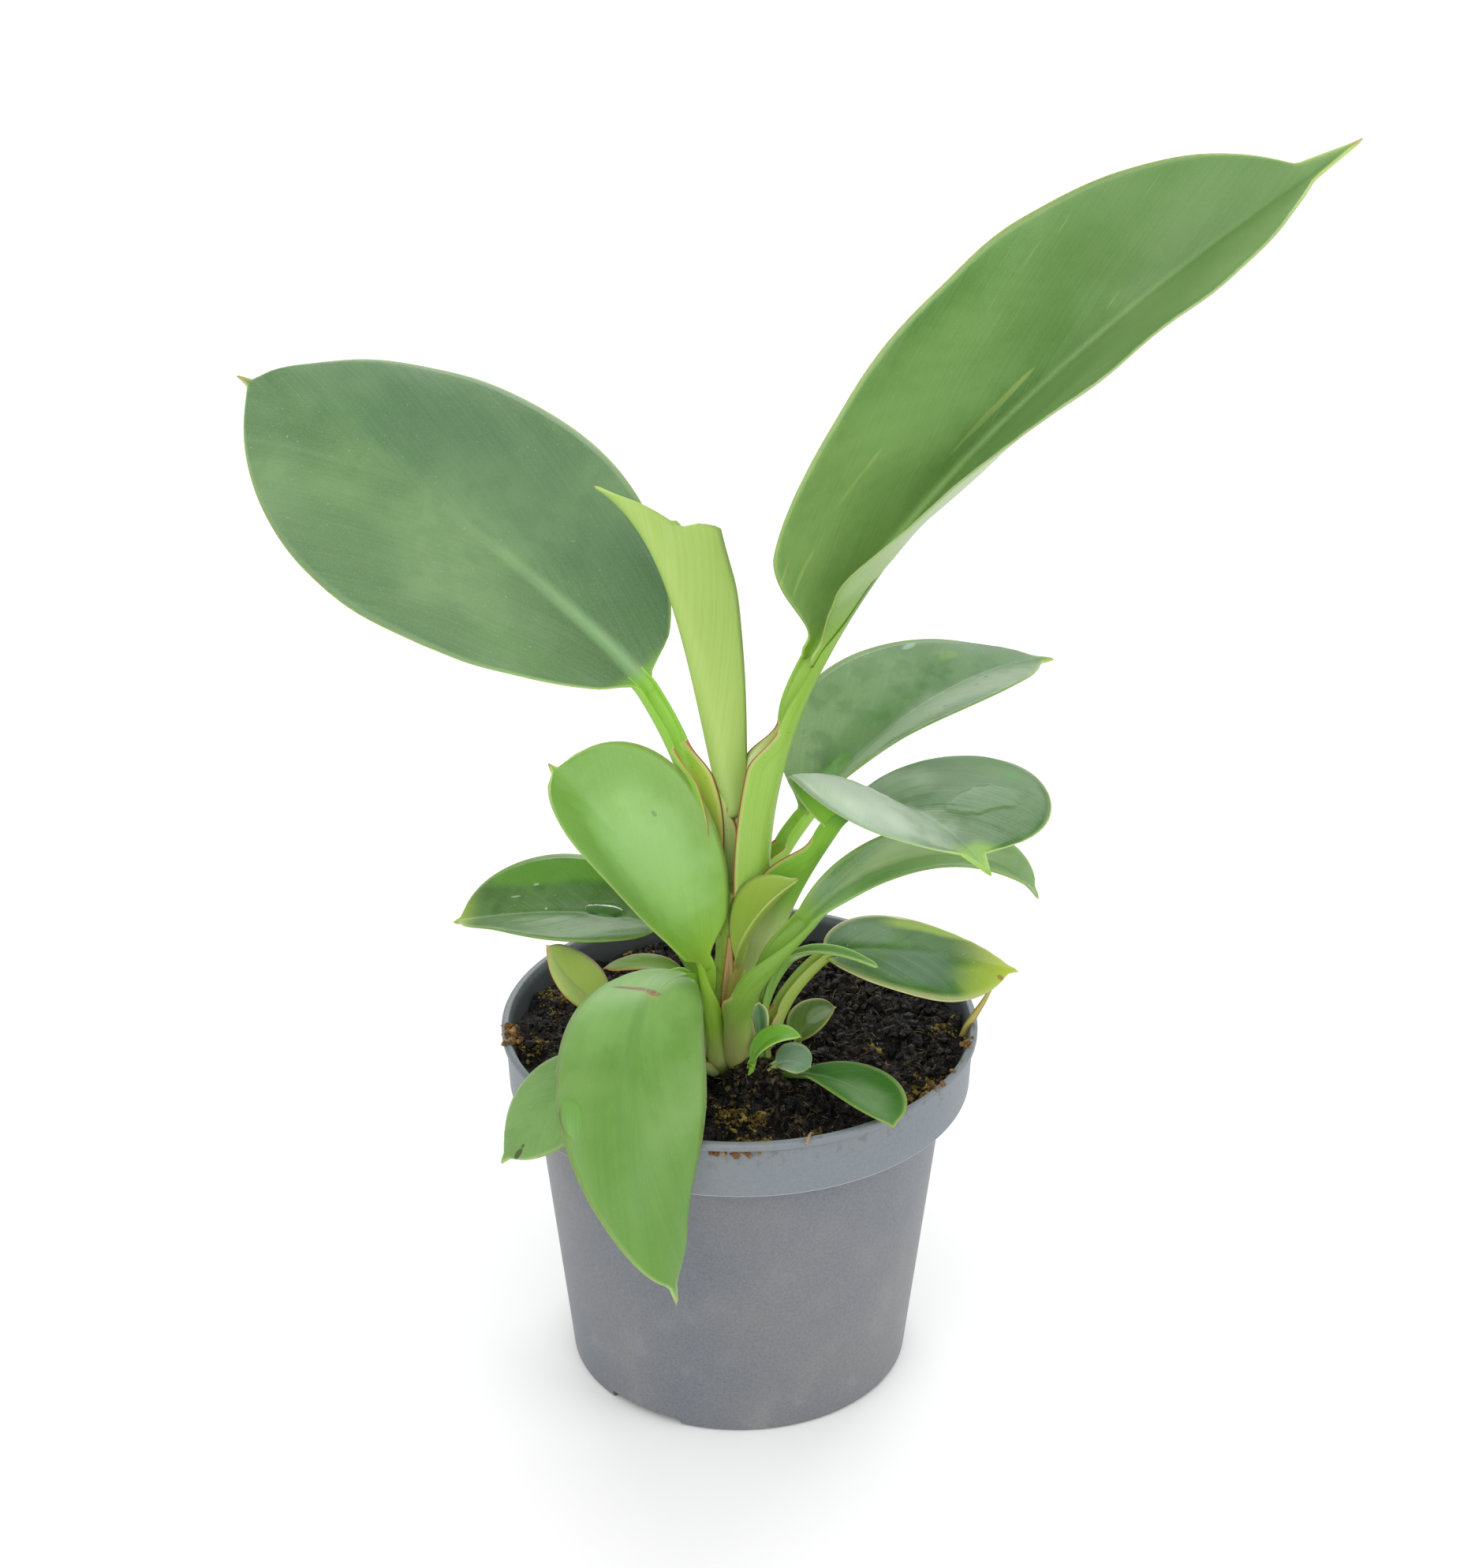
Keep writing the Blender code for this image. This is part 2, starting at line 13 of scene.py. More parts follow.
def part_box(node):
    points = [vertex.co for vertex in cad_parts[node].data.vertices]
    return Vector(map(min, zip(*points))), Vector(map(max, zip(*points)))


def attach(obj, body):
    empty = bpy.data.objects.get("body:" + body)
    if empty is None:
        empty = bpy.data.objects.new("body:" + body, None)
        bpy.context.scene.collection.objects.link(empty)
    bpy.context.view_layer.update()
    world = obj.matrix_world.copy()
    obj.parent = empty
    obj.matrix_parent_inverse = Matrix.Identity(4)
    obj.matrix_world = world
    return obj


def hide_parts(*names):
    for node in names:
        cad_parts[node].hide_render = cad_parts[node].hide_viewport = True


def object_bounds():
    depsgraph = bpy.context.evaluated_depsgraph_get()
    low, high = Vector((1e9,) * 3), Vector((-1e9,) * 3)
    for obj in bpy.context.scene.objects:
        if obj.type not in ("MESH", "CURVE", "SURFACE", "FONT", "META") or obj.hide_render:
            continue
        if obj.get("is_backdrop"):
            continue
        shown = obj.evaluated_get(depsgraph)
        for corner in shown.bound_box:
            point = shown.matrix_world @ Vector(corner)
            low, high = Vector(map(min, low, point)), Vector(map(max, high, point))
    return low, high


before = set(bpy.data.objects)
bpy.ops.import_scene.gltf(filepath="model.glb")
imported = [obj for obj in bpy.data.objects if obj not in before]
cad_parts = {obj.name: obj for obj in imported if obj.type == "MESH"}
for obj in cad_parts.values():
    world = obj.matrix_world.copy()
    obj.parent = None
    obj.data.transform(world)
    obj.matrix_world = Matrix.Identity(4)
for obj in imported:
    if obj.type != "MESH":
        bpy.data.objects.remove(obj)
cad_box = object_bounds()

MM = 0.001

# The nursery pot is a thin wall of injection-moulded polypropylene in mid grey. The lip is
# beaded, and the collar steps out from the body so that pots nest without jamming.
# Notches in the foot and round holes in the floor let water out.


def linear(hex_colour):
    """An sRGB hex value as linear RGBA."""
    parts = [int(hex_colour[i:i + 2], 16) / 255 for i in (1, 3, 5)]
    return (*(v / 12.92 if v <= 0.04045 else ((v + 0.055) / 1.055) ** 2.4 for v in parts), 1.0)


def plug(tree, node, inputs):
    """Links or sets a node's inputs, in order or by name: nodes, sockets, hex colours, values."""
    for key, value in inputs.items() if isinstance(inputs, dict) else enumerate(inputs):
        if isinstance(value, bpy.types.Node):
            value = value.outputs[0]
        if isinstance(value, bpy.types.NodeSocket):
            tree.links.new(value, node.inputs[key])
        else:
            node.inputs[key].default_value = linear(value) if isinstance(value, str) else value
    return node


def add(tree, kind, inputs=(), **settings):
    """Adds a node of a kind, named without its family, with its settings and its inputs."""
    families = ("ShaderNode", "GeometryNode", "FunctionNode", "")
    node = tree.nodes.new(next(f + kind for f in families if hasattr(bpy.types, f + kind)))
    for key, value in settings.items():
        setattr(node, key, value)
    return plug(tree, node, inputs)


def new_tree(name, **sockets):
    """An empty Geometry Nodes tree with its named inputs, which a geometry comes before."""
    tree = bpy.data.node_groups.new(name, "GeometryNodeTree")
    for label, kind in {"Geometry": "Geometry", **sockets, "Material": "Material"}.items():
        tree.interface.new_socket(label.replace("_", " "), in_out="INPUT", socket_type="NodeSocket" + kind)
    tree.interface.new_socket("Geometry", in_out="OUTPUT", socket_type="NodeSocketGeometry")
    return tree, tree.nodes.new("NodeGroupInput").outputs


def close_tree(tree, geometry, material):
    """Ends a tree with its instances realized and its material set."""
    real = add(tree, "RealizeInstances", (geometry,))
    add(tree, "NodeGroupOutput", (add(tree, "SetMaterial", {"Geometry": real, "Material": material}),))
    return tree


def grow(mesh, tree, **values):
    """The mesh that a tree makes of another one, with the tree's inputs set by name."""
    source = bpy.data.objects.new(mesh.name, mesh)
    bpy.context.scene.collection.objects.link(source)
    modifier = source.modifiers.new(tree.name, "NODES")
    modifier.node_group = tree
    for item in tree.interface.items_tree:
        if item.in_out == "INPUT" and item.name.replace(" ", "_") in values:
            modifier[item.identifier] = values[item.name.replace(" ", "_")]
    seen = source.evaluated_get(bpy.context.evaluated_depsgraph_get())
    made = bpy.data.meshes.new_from_object(seen)
    bpy.data.objects.remove(source)
    return made


def fit_piece(name, mesh, nodes=()):
    """Puts a finished mesh on the plant, in the place of the CAD nodes it stands for."""
    piece = bpy.data.objects.new(name, mesh)
    bpy.context.scene.collection.objects.link(piece)
    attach(piece, "root")
    if nodes:
        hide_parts(*nodes)


def arc(middle, radius, start, end, steps):
    """Points (radius, height) on a rounded edge, from one angle to another."""
    turns = [math.radians(start + (end - start) * i / steps) for i in range(steps + 1)]
    return [(middle[0] + radius * math.cos(a), middle[1] + radius * math.sin(a)) for a in turns]


def turning_tree():
    """Turns a profile, from the foot's middle outwards and up, about the Z axis."""
    tree, given = new_tree("turned about the axis", Steps="Int")
    line, steps = given["Geometry"], given["Steps"]
    rows = add(tree, "AttributeDomainSize", (line,)).outputs["Point Count"]
    grid = add(tree, "MeshGrid", {"Vertices X": add(tree, "Math", (steps, 1.0)), "Vertices Y": rows})
    index = add(tree, "InputIndex")
    row = add(tree, "Math", (index, rows), operation="MODULO")
    share = add(tree, "Math", (index, rows), operation="DIVIDE")
    step = add(tree, "Math", (share,), operation="FLOOR")
    part = add(tree, "Math", (step, steps), operation="DIVIDE")
    turn = add(tree, "Math", (part, math.tau), operation="MULTIPLY")
    spot = add(tree, "SampleIndex", {"Geometry": line, "Value": add(tree, "InputPosition"), "Index": row},
               data_type="FLOAT_VECTOR", domain="POINT")
    swung = add(tree, "VectorRotate", {"Vector": spot, "Angle": turn}, rotation_type="Z_AXIS")
    moved = add(tree, "SetPosition", {"Geometry": grid, "Position": swung})
    closed = add(tree, "MergeByDistance", {"Geometry": moved, "Distance": 0.02 * MM})
    return close_tree(tree, closed, given["Material"])


def turned(name, profile, steps, material):
    """A closed shape turned from (radius, height) pairs."""
    line = bpy.data.meshes.new(name)
    points = [(radius * MM, 0.0, height * MM) for radius, height in profile]
    line.from_pydata(points, [(i, i + 1) for i in range(len(points) - 1)], [])
    made = grow(line, TURNING, Steps=steps, Material=material)
    made.name = name
    return made


def draining_tree():
    """Cuts a ring of round holes and two foot notches out of the turned pot."""
    tree, given = new_tree(
        "drained foot", Holes="Int", Ring_Radius="Float", Hole_Radius="Float", Floor="Float",
        Foot_Radius="Float", Notch_Size="Vector", Notch_Turn="Float",
    )
    ring = add(tree, "MeshCircle", {"Vertices": given["Holes"], "Radius": given["Ring Radius"]})
    tall = add(tree, "Math", (given["Floor"], 4.0), operation="MULTIPLY")
    peg = add(tree, "MeshCylinder", {"Vertices": 40, "Radius": given["Hole Radius"], "Depth": tall})
    pegs = add(tree, "InstanceOnPoints", {"Points": ring, "Instance": peg})
    start, reach = (
        add(tree, "CombineXYZ", (add(tree, "Math", (given["Foot Radius"], times), operation="MULTIPLY"),))
        for times in (-1.0, 2.0)
    )
    ends = add(tree, "MeshLine", {"Count": 2, "Start Location": start, "Offset": reach})
    block = add(tree, "MeshCube", {"Size": given["Notch Size"]})
    blocks = add(tree, "InstanceOnPoints", {"Points": ends, "Instance": block})
    turn = add(tree, "CombineXYZ", {"Z": given["Notch Turn"]})
    swung = add(tree, "Transform", {"Geometry": blocks, "Rotation": turn})
    cutters = plug(tree, add(tree, "JoinGeometry", (pegs,)), (swung,))
    real = add(tree, "RealizeInstances", (cutters,))
    cut = add(tree, "MeshBoolean", {"Mesh 1": given["Geometry"], "Mesh 2": real},
              operation="DIFFERENCE", solver="EXACT")
    return close_tree(tree, cut, given["Material"])


def new_material(name, **values):
    """A material with its shader's plain values set, its tree and its Object coordinates."""
    material = bpy.data.materials.new(name)
    material.use_nodes = True
    tree = material.node_tree
    plug(tree, tree.nodes["Principled BSDF"], {key.replace("_", " "): value for key, value in values.items()})
    return material, tree, add(tree, "TexCoord").outputs["Object"]


def ramp(tree, value, start, end, at_start=0.0, at_end=1.0):
    """A smooth step of a value between two of its levels."""
    return add(tree, "MapRange", (value, start, end, at_start, at_end), interpolation_type="SMOOTHSTEP")


def speckle(tree, place, scale, low, high, detail=2.0):
    """Noise at a scale (features a metre), spread from 0 at low to 1 at high."""
    return ramp(tree, add(tree, "TexNoise", {"Vector": place, "Scale": scale, "Detail": detail}), low, high)


def times(tree, value, factor):
    """Both of two shares at once, or a share of one."""
    return add(tree, "Math", (value, factor), operation="MULTIPLY")


def painted(tree, colour, *layers):
    """Colours laid over a first one, each by a share from 0 to 1 and that share's strength."""
    for share, strength, over in layers:
        share = share if strength == 1.0 else times(tree, share, strength)
        colour = add(tree, "Mix", {0: share, 6: colour, 7: over}, data_type="RGBA").outputs[2]
    return colour


def skinned(material, colour, relief=None, **linked):
    """Gives a material its colour and its relief: a height, a strength and a depth in mm."""
    tree = material.node_tree
    if relief:
        height, strength, depth = relief
        linked["Normal"] = add(tree, "Bump", {"Height": height, "Strength": strength, "Distance": depth * MM})
    plug(tree, tree.nodes["Principled BSDF"], {"Base Color": colour, **linked})
    return material


def pot_finish():
    """Matte moulded polypropylene: satin skin over a fine spark-eroded grain."""
    material, tree, place = new_material("moulded_polypropylene_grey", Roughness=0.46, IOR=1.49)
    grain = speckle(tree, place, 1500.0, 0.25, 0.75, 3.0)
    height = add(tree, "SeparateXYZ", (place,)).outputs[2]
    # A thin pale line along the collar's foot: a painted highlight over slight wear.
    edge_highlight_and_wear = add(tree, "Math", (height, 0.0803, 0.0002), operation="COMPARE")
    splash = times(tree, ramp(tree, height, 0.084, 0.094), speckle(tree, place, 420.0, 0.56, 0.7, 4.0))
    flat = add(tree, "VectorMath", (place, (1.0, 1.0, 0.0)), operation="MULTIPLY")
    radius = add(tree, "VectorMath", (flat,), operation="LENGTH").outputs["Value"]
    # The inside of the collar above the soil is darkened to near black.
    inner_wall_darkening = times(tree, ramp(tree, radius, 0.0581, 0.0572), ramp(tree, height, 0.081, 0.083))
    scale_marks = times(tree, ramp(tree, height, 0.076, 0.0), speckle(tree, place, 90.0, 0.5, 0.75, 5.0))
    colour = painted(
        tree, "#5f646b", (speckle(tree, place, 22.0, 0.3, 0.7), 1.0, "#6b6b6d"), (grain, 0.2, "#9a9ca3"),
        # Painted light: the collar and lip are painted lighter and bluer than the body.
        (ramp(tree, height, 0.0795, 0.0805), 0.4, "#77848b"), (edge_highlight_and_wear, 0.5, "#b9c0c6"),
        (splash, 0.45, "#55504a"), (inner_wall_darkening, 0.72, "#22272a"), (scale_marks, 0.16, "#a5a4a4"),
    )
    return skinned(material, colour, (grain, 0.25, 0.06))


TURNING = turning_tree()
POT = pot_finish()

pot_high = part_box("pot")[1]
POT_HEIGHT = pot_high.z / MM
LIP_RADIUS = pot_high.x / MM
LIP_WIDTH = 1.9
LIP_DEPTH = 2.3
LIP_ROUND = 0.8
COLLAR_FOOT = POT_HEIGHT - 16.0
COLLAR_RADIUS = 58.3
BODY_TOP_RADIUS = 52.1
FOOT_RADIUS = 43.4
FOOT_ROUND = 1.6
WALL = 1.2
FLOOR = 2.0
BODY_TOP = COLLAR_FOOT - 0.8
STEP_HEIGHT = BODY_TOP + WALL
COLLAR_INSIDE = COLLAR_RADIUS - WALL - 0.5
DRAIN_RING = 26.0
DRAIN_HOLES = 6
HOLE_RADIUS = 4.0
NOTCH_SIZE = (12.0, 21.0, 4.8)
NOTCH_TURN = 56.0
CREASE_ANGLE = 38.0


def inner_radius(height):
    """Inside radius of the tapering body at a height."""
    share = (height - FOOT_ROUND) / (BODY_TOP - FOOT_ROUND)
    return FOOT_RADIUS + (BODY_TOP_RADIUS - FOOT_RADIUS) * share - WALL


def pot_profile():
    """From the middle of the underside out, up the outside, over the lip and down inside."""
    lip_foot = POT_HEIGHT - LIP_DEPTH
    body = [(FOOT_RADIUS, FOOT_ROUND), (BODY_TOP_RADIUS, BODY_TOP - 0.7)]
    return [
        (0.0, 0.0), (DRAIN_RING, 0.0), *arc((FOOT_RADIUS - FOOT_ROUND, FOOT_ROUND), FOOT_ROUND, -90, -6, 6),
        *(tuple(a + (b - a) * i / 12 for a, b in zip(*body)) for i in range(1, 13)),
        *arc((BODY_TOP_RADIUS + 0.7, BODY_TOP - 0.6), 0.6, 180, 100, 4),
        *arc((COLLAR_RADIUS - 0.7, COLLAR_FOOT + 0.7), 0.7, -84, 0, 5),
        (COLLAR_RADIUS + 0.3, COLLAR_FOOT + 7.0), (LIP_RADIUS - 1.2, lip_foot - 0.5),
        *arc((LIP_RADIUS - LIP_ROUND, lip_foot + LIP_ROUND), LIP_ROUND, -80, 0, 4),
        *arc((LIP_RADIUS - LIP_ROUND, POT_HEIGHT - LIP_ROUND), LIP_ROUND, 0, 90, 6),
        *arc((LIP_RADIUS - LIP_WIDTH + 0.5, POT_HEIGHT - 0.5), 0.5, 90, 180, 4),
        (COLLAR_INSIDE, lip_foot - LIP_WIDTH), (COLLAR_INSIDE, STEP_HEIGHT + 0.8),
        *((inner_radius(height), height) for height in (STEP_HEIGHT, FLOOR)),
        (DRAIN_RING, FLOOR), (0.0, FLOOR),
    ]


pot_mesh = grow(
    turned("pot_turned", pot_profile(), 200, POT), draining_tree(), Holes=DRAIN_HOLES,
    Ring_Radius=DRAIN_RING * MM, Hole_Radius=HOLE_RADIUS * MM, Floor=FLOOR * MM,
    Foot_Radius=FOOT_RADIUS * MM, Notch_Size=[side * MM for side in NOTCH_SIZE],
    Notch_Turn=math.radians(NOTCH_TURN), Material=POT,
)
pot_mesh.shade_smooth()
pot_mesh.set_sharp_from_angle(angle=math.radians(CREASE_ANGLE))
fit_piece("nursery_pot", pot_mesh, ["pot"])

# Potting soil is wet peat: nearly black, lumpy, with coir fibres, a few grains of perlite
# and olive moss where it stays damp. It fills the pot to a finger's breadth below the lip,
# is heaped up in front of the stem and banked against the wall at two sides.
SOIL_TOP = 88.0
SOIL_BOTTOM = FLOOR + 0.7
SOIL_RADIUS = COLLAR_INSIDE - 0.3
SOIL_RINGS = 90
STEM_PLACE = (-1.0, -11.0)
CLOD_PLACE = (4.6, -24.5)
CLOD_HEIGHT = 5.5
HEAPS = ((5.0, -26.0, 9.0, 4.0), (-54.0, 0.0, 17.0, 4.2), (54.0, 8.0, 14.0, 3.6))
MOSS_HEIGHT = 1.2
STREWN_FROM = 84.0
MOSS_PLACES = (
    (45.5, -19.3, 3.2), (42.5, -26, 2.4), (48.7, -20.6, 2.0), (50.3, 2.1, 2.4), (34.1, -3.4, 1.8),
    (-1.4, -35.3, 3.4), (4.3, -38.4, 2.4), (1.6, -47.9, 2.6), (6.6, -48.2, 2.2), (19.3, -43, 2.8),
    (-52, -7, 3.2), (-45, 20, 4.0), (-27, 43, 4.5), (20, 44, 3.5), (-30, -38, 3.0),
)


def heap(x, y, place_x, place_y, reach):
    """1 at a place on the soil, falling off around it."""
    return math.exp(-((x - place_x) ** 2 + (y - place_y) ** 2) / (reach * reach))


def moss_share(x, y):
    return max(heap(x, y, *place) for place in MOSS_PLACES)


def soil_height(x, y):
    """The soil's rise and fall as in CAD, with lumps and crumbs of its own on top."""
    loose = min(1.0, max(0.0, math.hypot(x - STEM_PLACE[0], y - STEM_PLACE[1]) - 6.0) / 3.0)
    ripple = math.sin(0.31 * x + 1.0) * math.cos(0.27 * y) + math.sin(0.13 * x - 0.19 * y)
    lumps = sum(
        size * noise.noise(Vector((x, y, 7.0 * size)) / width)
        for size, width in ((2.4, 9.0), (2.4, 4.0), (1.1, 1.7))
    )
    clod = math.hypot(x - CLOD_PLACE[0], y - CLOD_PLACE[1]) / 7.0
    heaped = sum(height * heap(x, y, *place) for *place, height in HEAPS) + CLOD_HEIGHT * math.exp(-clod ** 4)
    return SOIL_TOP + loose * (0.4 * ripple + heaped + lumps + MOSS_HEIGHT * moss_share(x, y))


def off_wall(x, y, gap):
    """1 where the soil is at least a gap away from the wall, so that nothing pokes through it."""
    return min(1.0, max(0.0, COLLAR_INSIDE - gap - math.hypot(x, y)))


def soil_finish():
    """Peat: nearly black when wet, with dull brown crumbs a millimetre or two across."""
    material, tree, place = new_material("wet_peat", Roughness=0.62, Specular_IOR_Level=0.2)
    shades = ((160.0, 0.42, 0.62, "#131110"), (700.0, 0.55, 0.7, "#2e2820"), (1500.0, 0.62, 0.72, "#5a5244"))
    layers = ((speckle(tree, place, *grain), 1.0, shade) for *grain, shade in shades)
    colour = painted(tree, "#060607", *layers)
    return skinned(material, colour, (speckle(tree, place, 1300.0, 0.2, 0.8, 5.0), 1.0, 0.6))


def crumb_finish(name, dark, pale, rough):
    """Dull loose matter in two colours that change from crumb to crumb."""
    material, tree, place = new_material(name, Roughness=rough, Specular_IOR_Level=0.2)
    colour = painted(tree, dark, (speckle(tree, place, 420.0, 0.42, 0.72), 1.0, pale))
    return skinned(material, colour, (speckle(tree, place, 2500.0, 0.2, 0.8), 0.6, 0.2))


def strewing_tree(name):
    """A tree with points strewn on the upper faces, where the named attribute lets them lie."""
    tree, given = new_tree(name, Where="String", Lowest="Float", Density="Float", Seed="Int",
                           Smallest="Float", Largest="Float", Roughness="Float")
    height = add(tree, "SeparateXYZ", (add(tree, "InputPosition"),)).outputs[2]
    top = add(tree, "Math", (height, given["Lowest"]), operation="GREATER_THAN")
    where = add(tree, "InputNamedAttribute", {"Name": given["Where"]}, data_type="FLOAT")
    return tree, given, add(tree, "DistributePointsOnFaces", {
        "Mesh": given["Geometry"], "Selection": top, "Density": times(tree, where, given["Density"]),
        "Seed": given["Seed"],
    }, distribute_method="RANDOM")


def bent_copies(tree, points, thing, turn, scale, features, middle, reach):
    """A copy of a thing on each point, bent by noise (features a metre) of a reach."""
    real = add(tree, "RealizeInstances", (add(tree, "InstanceOnPoints", {
        "Points": points, "Instance": thing, "Rotation": turn, "Scale": scale,
    }),))
    place = add(tree, "InputPosition")
    drift = add(tree, "TexNoise", {"Vector": place, "Scale": features, "Detail": 1.0}).outputs[1]
    drift = add(tree, "VectorMath", (drift, middle), operation="SUBTRACT")
    push = add(tree, "VectorMath", {0: drift, 3: reach}, operation="SCALE")
    return add(tree, "SetPosition", {"Geometry": real, "Offset": push})


def crumb_tree():
    """Strews crumbs: small rough pebbles of mixed size, most of them small."""
    tree, given, points = strewing_tree("strewn crumbs")
    seed = given["Seed"]
    chance = add(tree, "RandomValue", {8: seed}, data_type="FLOAT").outputs[1]
    few = add(tree, "Math", (chance, 3.0), operation="POWER")
    size = add(tree, "MapRange", {"Value": few, "To Min": given["Smallest"], "To Max": given["Largest"]})
    shape, turn = (
        add(tree, "RandomValue", {0: least, 1: most, 8: seed}, data_type="FLOAT_VECTOR")
        for least, most in (((0.6, 0.6, 0.45), (1.25, 1.1, 0.9)), ((0.0, 0.0, 0.0), (math.tau,) * 3))
    )
    scale = add(tree, "VectorMath", {0: shape, 3: size}, operation="SCALE")
    pebble = add(tree, "MeshIcoSphere", {"Radius": 0.5, "Subdivisions": 1})
    crumbs = bent_copies(tree, points, pebble, turn, scale, 900.0, (0.5, 0.5, 0.5), given["Roughness"])
    return close_tree(tree, crumbs, given["Material"])


def fibre_tree():
    """Strews fibres: short bent strands that lie on the surface or stick a little out."""
    tree, given, points = strewing_tree("strewn fibres")
    seed = given["Seed"]
    strand = add(tree, "CurvePrimitiveLine", {"Start": (-0.5, 0, 0), "End": (0.5, 0, 0)})
    strand = add(tree, "ResampleCurve", {"Curve": strand, "Count": 9})
    sizes = {2: given["Smallest"], 3: given["Largest"], 8: seed}
    length = add(tree, "RandomValue", sizes, data_type="FLOAT").outputs[1]
    turns = {0: (0.0, -0.35, 0.0), 1: (0.0, 0.35, math.tau), 8: seed}
    turn = add(tree, "RandomValue", turns, data_type="FLOAT_VECTOR")
    strands = bent_copies(tree, points, strand, turn, length, 190.0, (0.5, 0.5, 0.42), 7.0 * MM)
    ring = add(tree, "CurvePrimitiveCircle", {"Resolution": 4, "Radius": given["Roughness"]})
    tube = add(tree, "CurveToMesh", {"Curve": strands, "Profile Curve": ring, "Fill Caps": True})
    return close_tree(tree, tube, given["Material"])


def mark(mesh, name, value_at):
    """Writes a number between 0 and 1 at each point of a mesh."""
    layer = mesh.attributes.new(name, "FLOAT", "POINT")
    for point, item in zip(mesh.vertices, layer.data):
        item.value = value_at(point.co.x / MM, point.co.y / MM)


def strew(piece, bed, tree, where, density, seed, sizes, *finish):
    """Adds loose matter: so many bits a square metre, between two sizes, with a roughness."""
    smallest, largest, rough = (size * MM for size in sizes)
    mesh = grow(bed, tree, Where=where, Lowest=STREWN_FROM * MM, Density=density, Seed=seed,
                Smallest=smallest, Largest=largest, Roughness=rough, Material=crumb_finish(*finish))
    fit_piece(piece, mesh)


soil_profile = [
    (0.0, SOIL_BOTTOM), (inner_radius(SOIL_BOTTOM) - 0.3, SOIL_BOTTOM),
    (inner_radius(STEP_HEIGHT) - 0.3, STEP_HEIGHT + 0.3), (SOIL_RADIUS, STEP_HEIGHT + 1.1),
    *((SOIL_RADIUS * (1 - i / SOIL_RINGS), SOIL_TOP) for i in range(SOIL_RINGS + 1)),
]
soil_mesh = turned("soil_turned", soil_profile, 180, soil_finish())
for vertex in soil_mesh.vertices:
    if vertex.co.z > (SOIL_TOP - 0.01) * MM:
        vertex.co.z = soil_height(vertex.co.x / MM, vertex.co.y / MM) * MM
mark(soil_mesh, "off_wall", lambda x, y: off_wall(x, y, 5.5))
mark(soil_mesh, "bare", lambda x, y: off_wall(x, y, 2.5) * (1.0 - 0.95 * moss_share(x, y)))
mark(soil_mesh, "damp", moss_share)
mark(soil_mesh, "heap", lambda x, y: heap(x, y, *CLOD_PLACE, 9.0))
soil_mesh.shade_smooth()
fit_piece("potting_soil_bed", soil_mesh, ["soil"])

CRUMBS = crumb_tree()
FIBRES = fibre_tree()
for piece, where, density, seed, sizes, *finish in (
    ("peat_crumbs", "bare", 520000.0, 4, (0.5, 4.2, 1.7), "peat_crumb", "#060606", "#2f2922", 0.5),
    ("heaped_crumbs", "heap", 900000.0, 31, (0.7, 3.6, 1.4), "crumbled_peat", "#0d0b08", "#5f5238", 0.7),
    ("coir_fibres", "off_wall", 90000.0, 9, (2.0, 7.0, 0.1), "coir_fibre", "#2a2219", "#8a7450", 0.7),
    ("moss_crumbs", "damp", 5200000.0, 21, (0.5, 1.7, 0.8), "damp_moss", "#55451b", "#a38d47", 0.85),
    ("perlite_grains", "off_wall", 4200.0, 13, (0.5, 1.9, 0.7), "perlite_grain", "#8d8a82", "#d9d7cf", 0.8),
):
    tree = FIBRES if piece == "coir_fibres" else CRUMBS
    strew(piece, soil_mesh, tree, where, density, seed, sizes, *finish)

# Soil that was spilled when the plant was potted clings to the lip: a tuft at the left, a
# few crumbs at the right, and tan grains caught under the bead at the front. Each strip is
# given by its place from the lip's edge, its two angles, its place from the top and its width.
SPILLS = (
    (-1.4, 184, 193, 0.3, 3.4), (-3.2, 182, 191, -1.2, 3.0), (-1.8, 345, 351, 0.1, 2.2),
    (-4.2, 326, 338, -4.5, 4.0), (-0.6, 263, 276, -3.0, 1.1), (-1.2, 323.5, 327.5, 0.2, 1.8),
    (-1.4, 333.5, 334.5, 0.1, 0.9), (-1.1, 339, 339.8, 0.1, 0.7),
)


def spill_bed():
    """Short strips along the lip on which the spilled grains lie."""
    points, faces = [], []
    for inward, start, end, up, width in SPILLS:
        first = len(points)
        for side in (-0.5, 0.5):
            radius = (LIP_RADIUS + inward + side * width) * MM
            turns = [math.radians(start + (end - start) * i / 6) for i in range(7)]
            points += [(radius * math.cos(a), radius * math.sin(a), (POT_HEIGHT + up) * MM) for a in turns]
        faces += [(i, i + 7, i + 8, i + 1) for i in range(first, first + 6)]
    mesh = bpy.data.meshes.new("spill_bed")
    mesh.from_pydata(points, [], faces)
    mark(mesh, "everywhere", lambda x, y: 1.0)
    return mesh


strew("spilled_crumbs", spill_bed(), CRUMBS, "everywhere", 1500000.0, 5, (0.5, 2.3, 0.9),
      "dry_spilled_peat", "#66492f", "#a8884f", 0.9)

# The stem is one short green column. Old leaves have left rings on it, and the feet of the
# living leaves' stalks wrap it almost whole.


def stem_finish():
    """Young stem: waxy green skin, brownish at the rings and paler towards the soil."""
    material, tree, place = new_material("waxy_stem_skin", Roughness=0.45, IOR=1.45)
    height = add(tree, "SeparateXYZ", (place,)).outputs[2]
    long_grain = add(tree, "Mapping", {"Vector": place, "Scale": (1.0, 1.0, 0.06)})
    return skinned(material, painted(
        tree, "#a7b070", (ramp(tree, height, 0.09, 0.12), 1.0, "#93b04a"),
        (speckle(tree, long_grain, 1400.0, 0.4, 0.7), 0.5, "#7d9638"),
        (speckle(tree, place, 800.0, 0.6, 0.72), 0.7, "#8a5f33"),
    ))


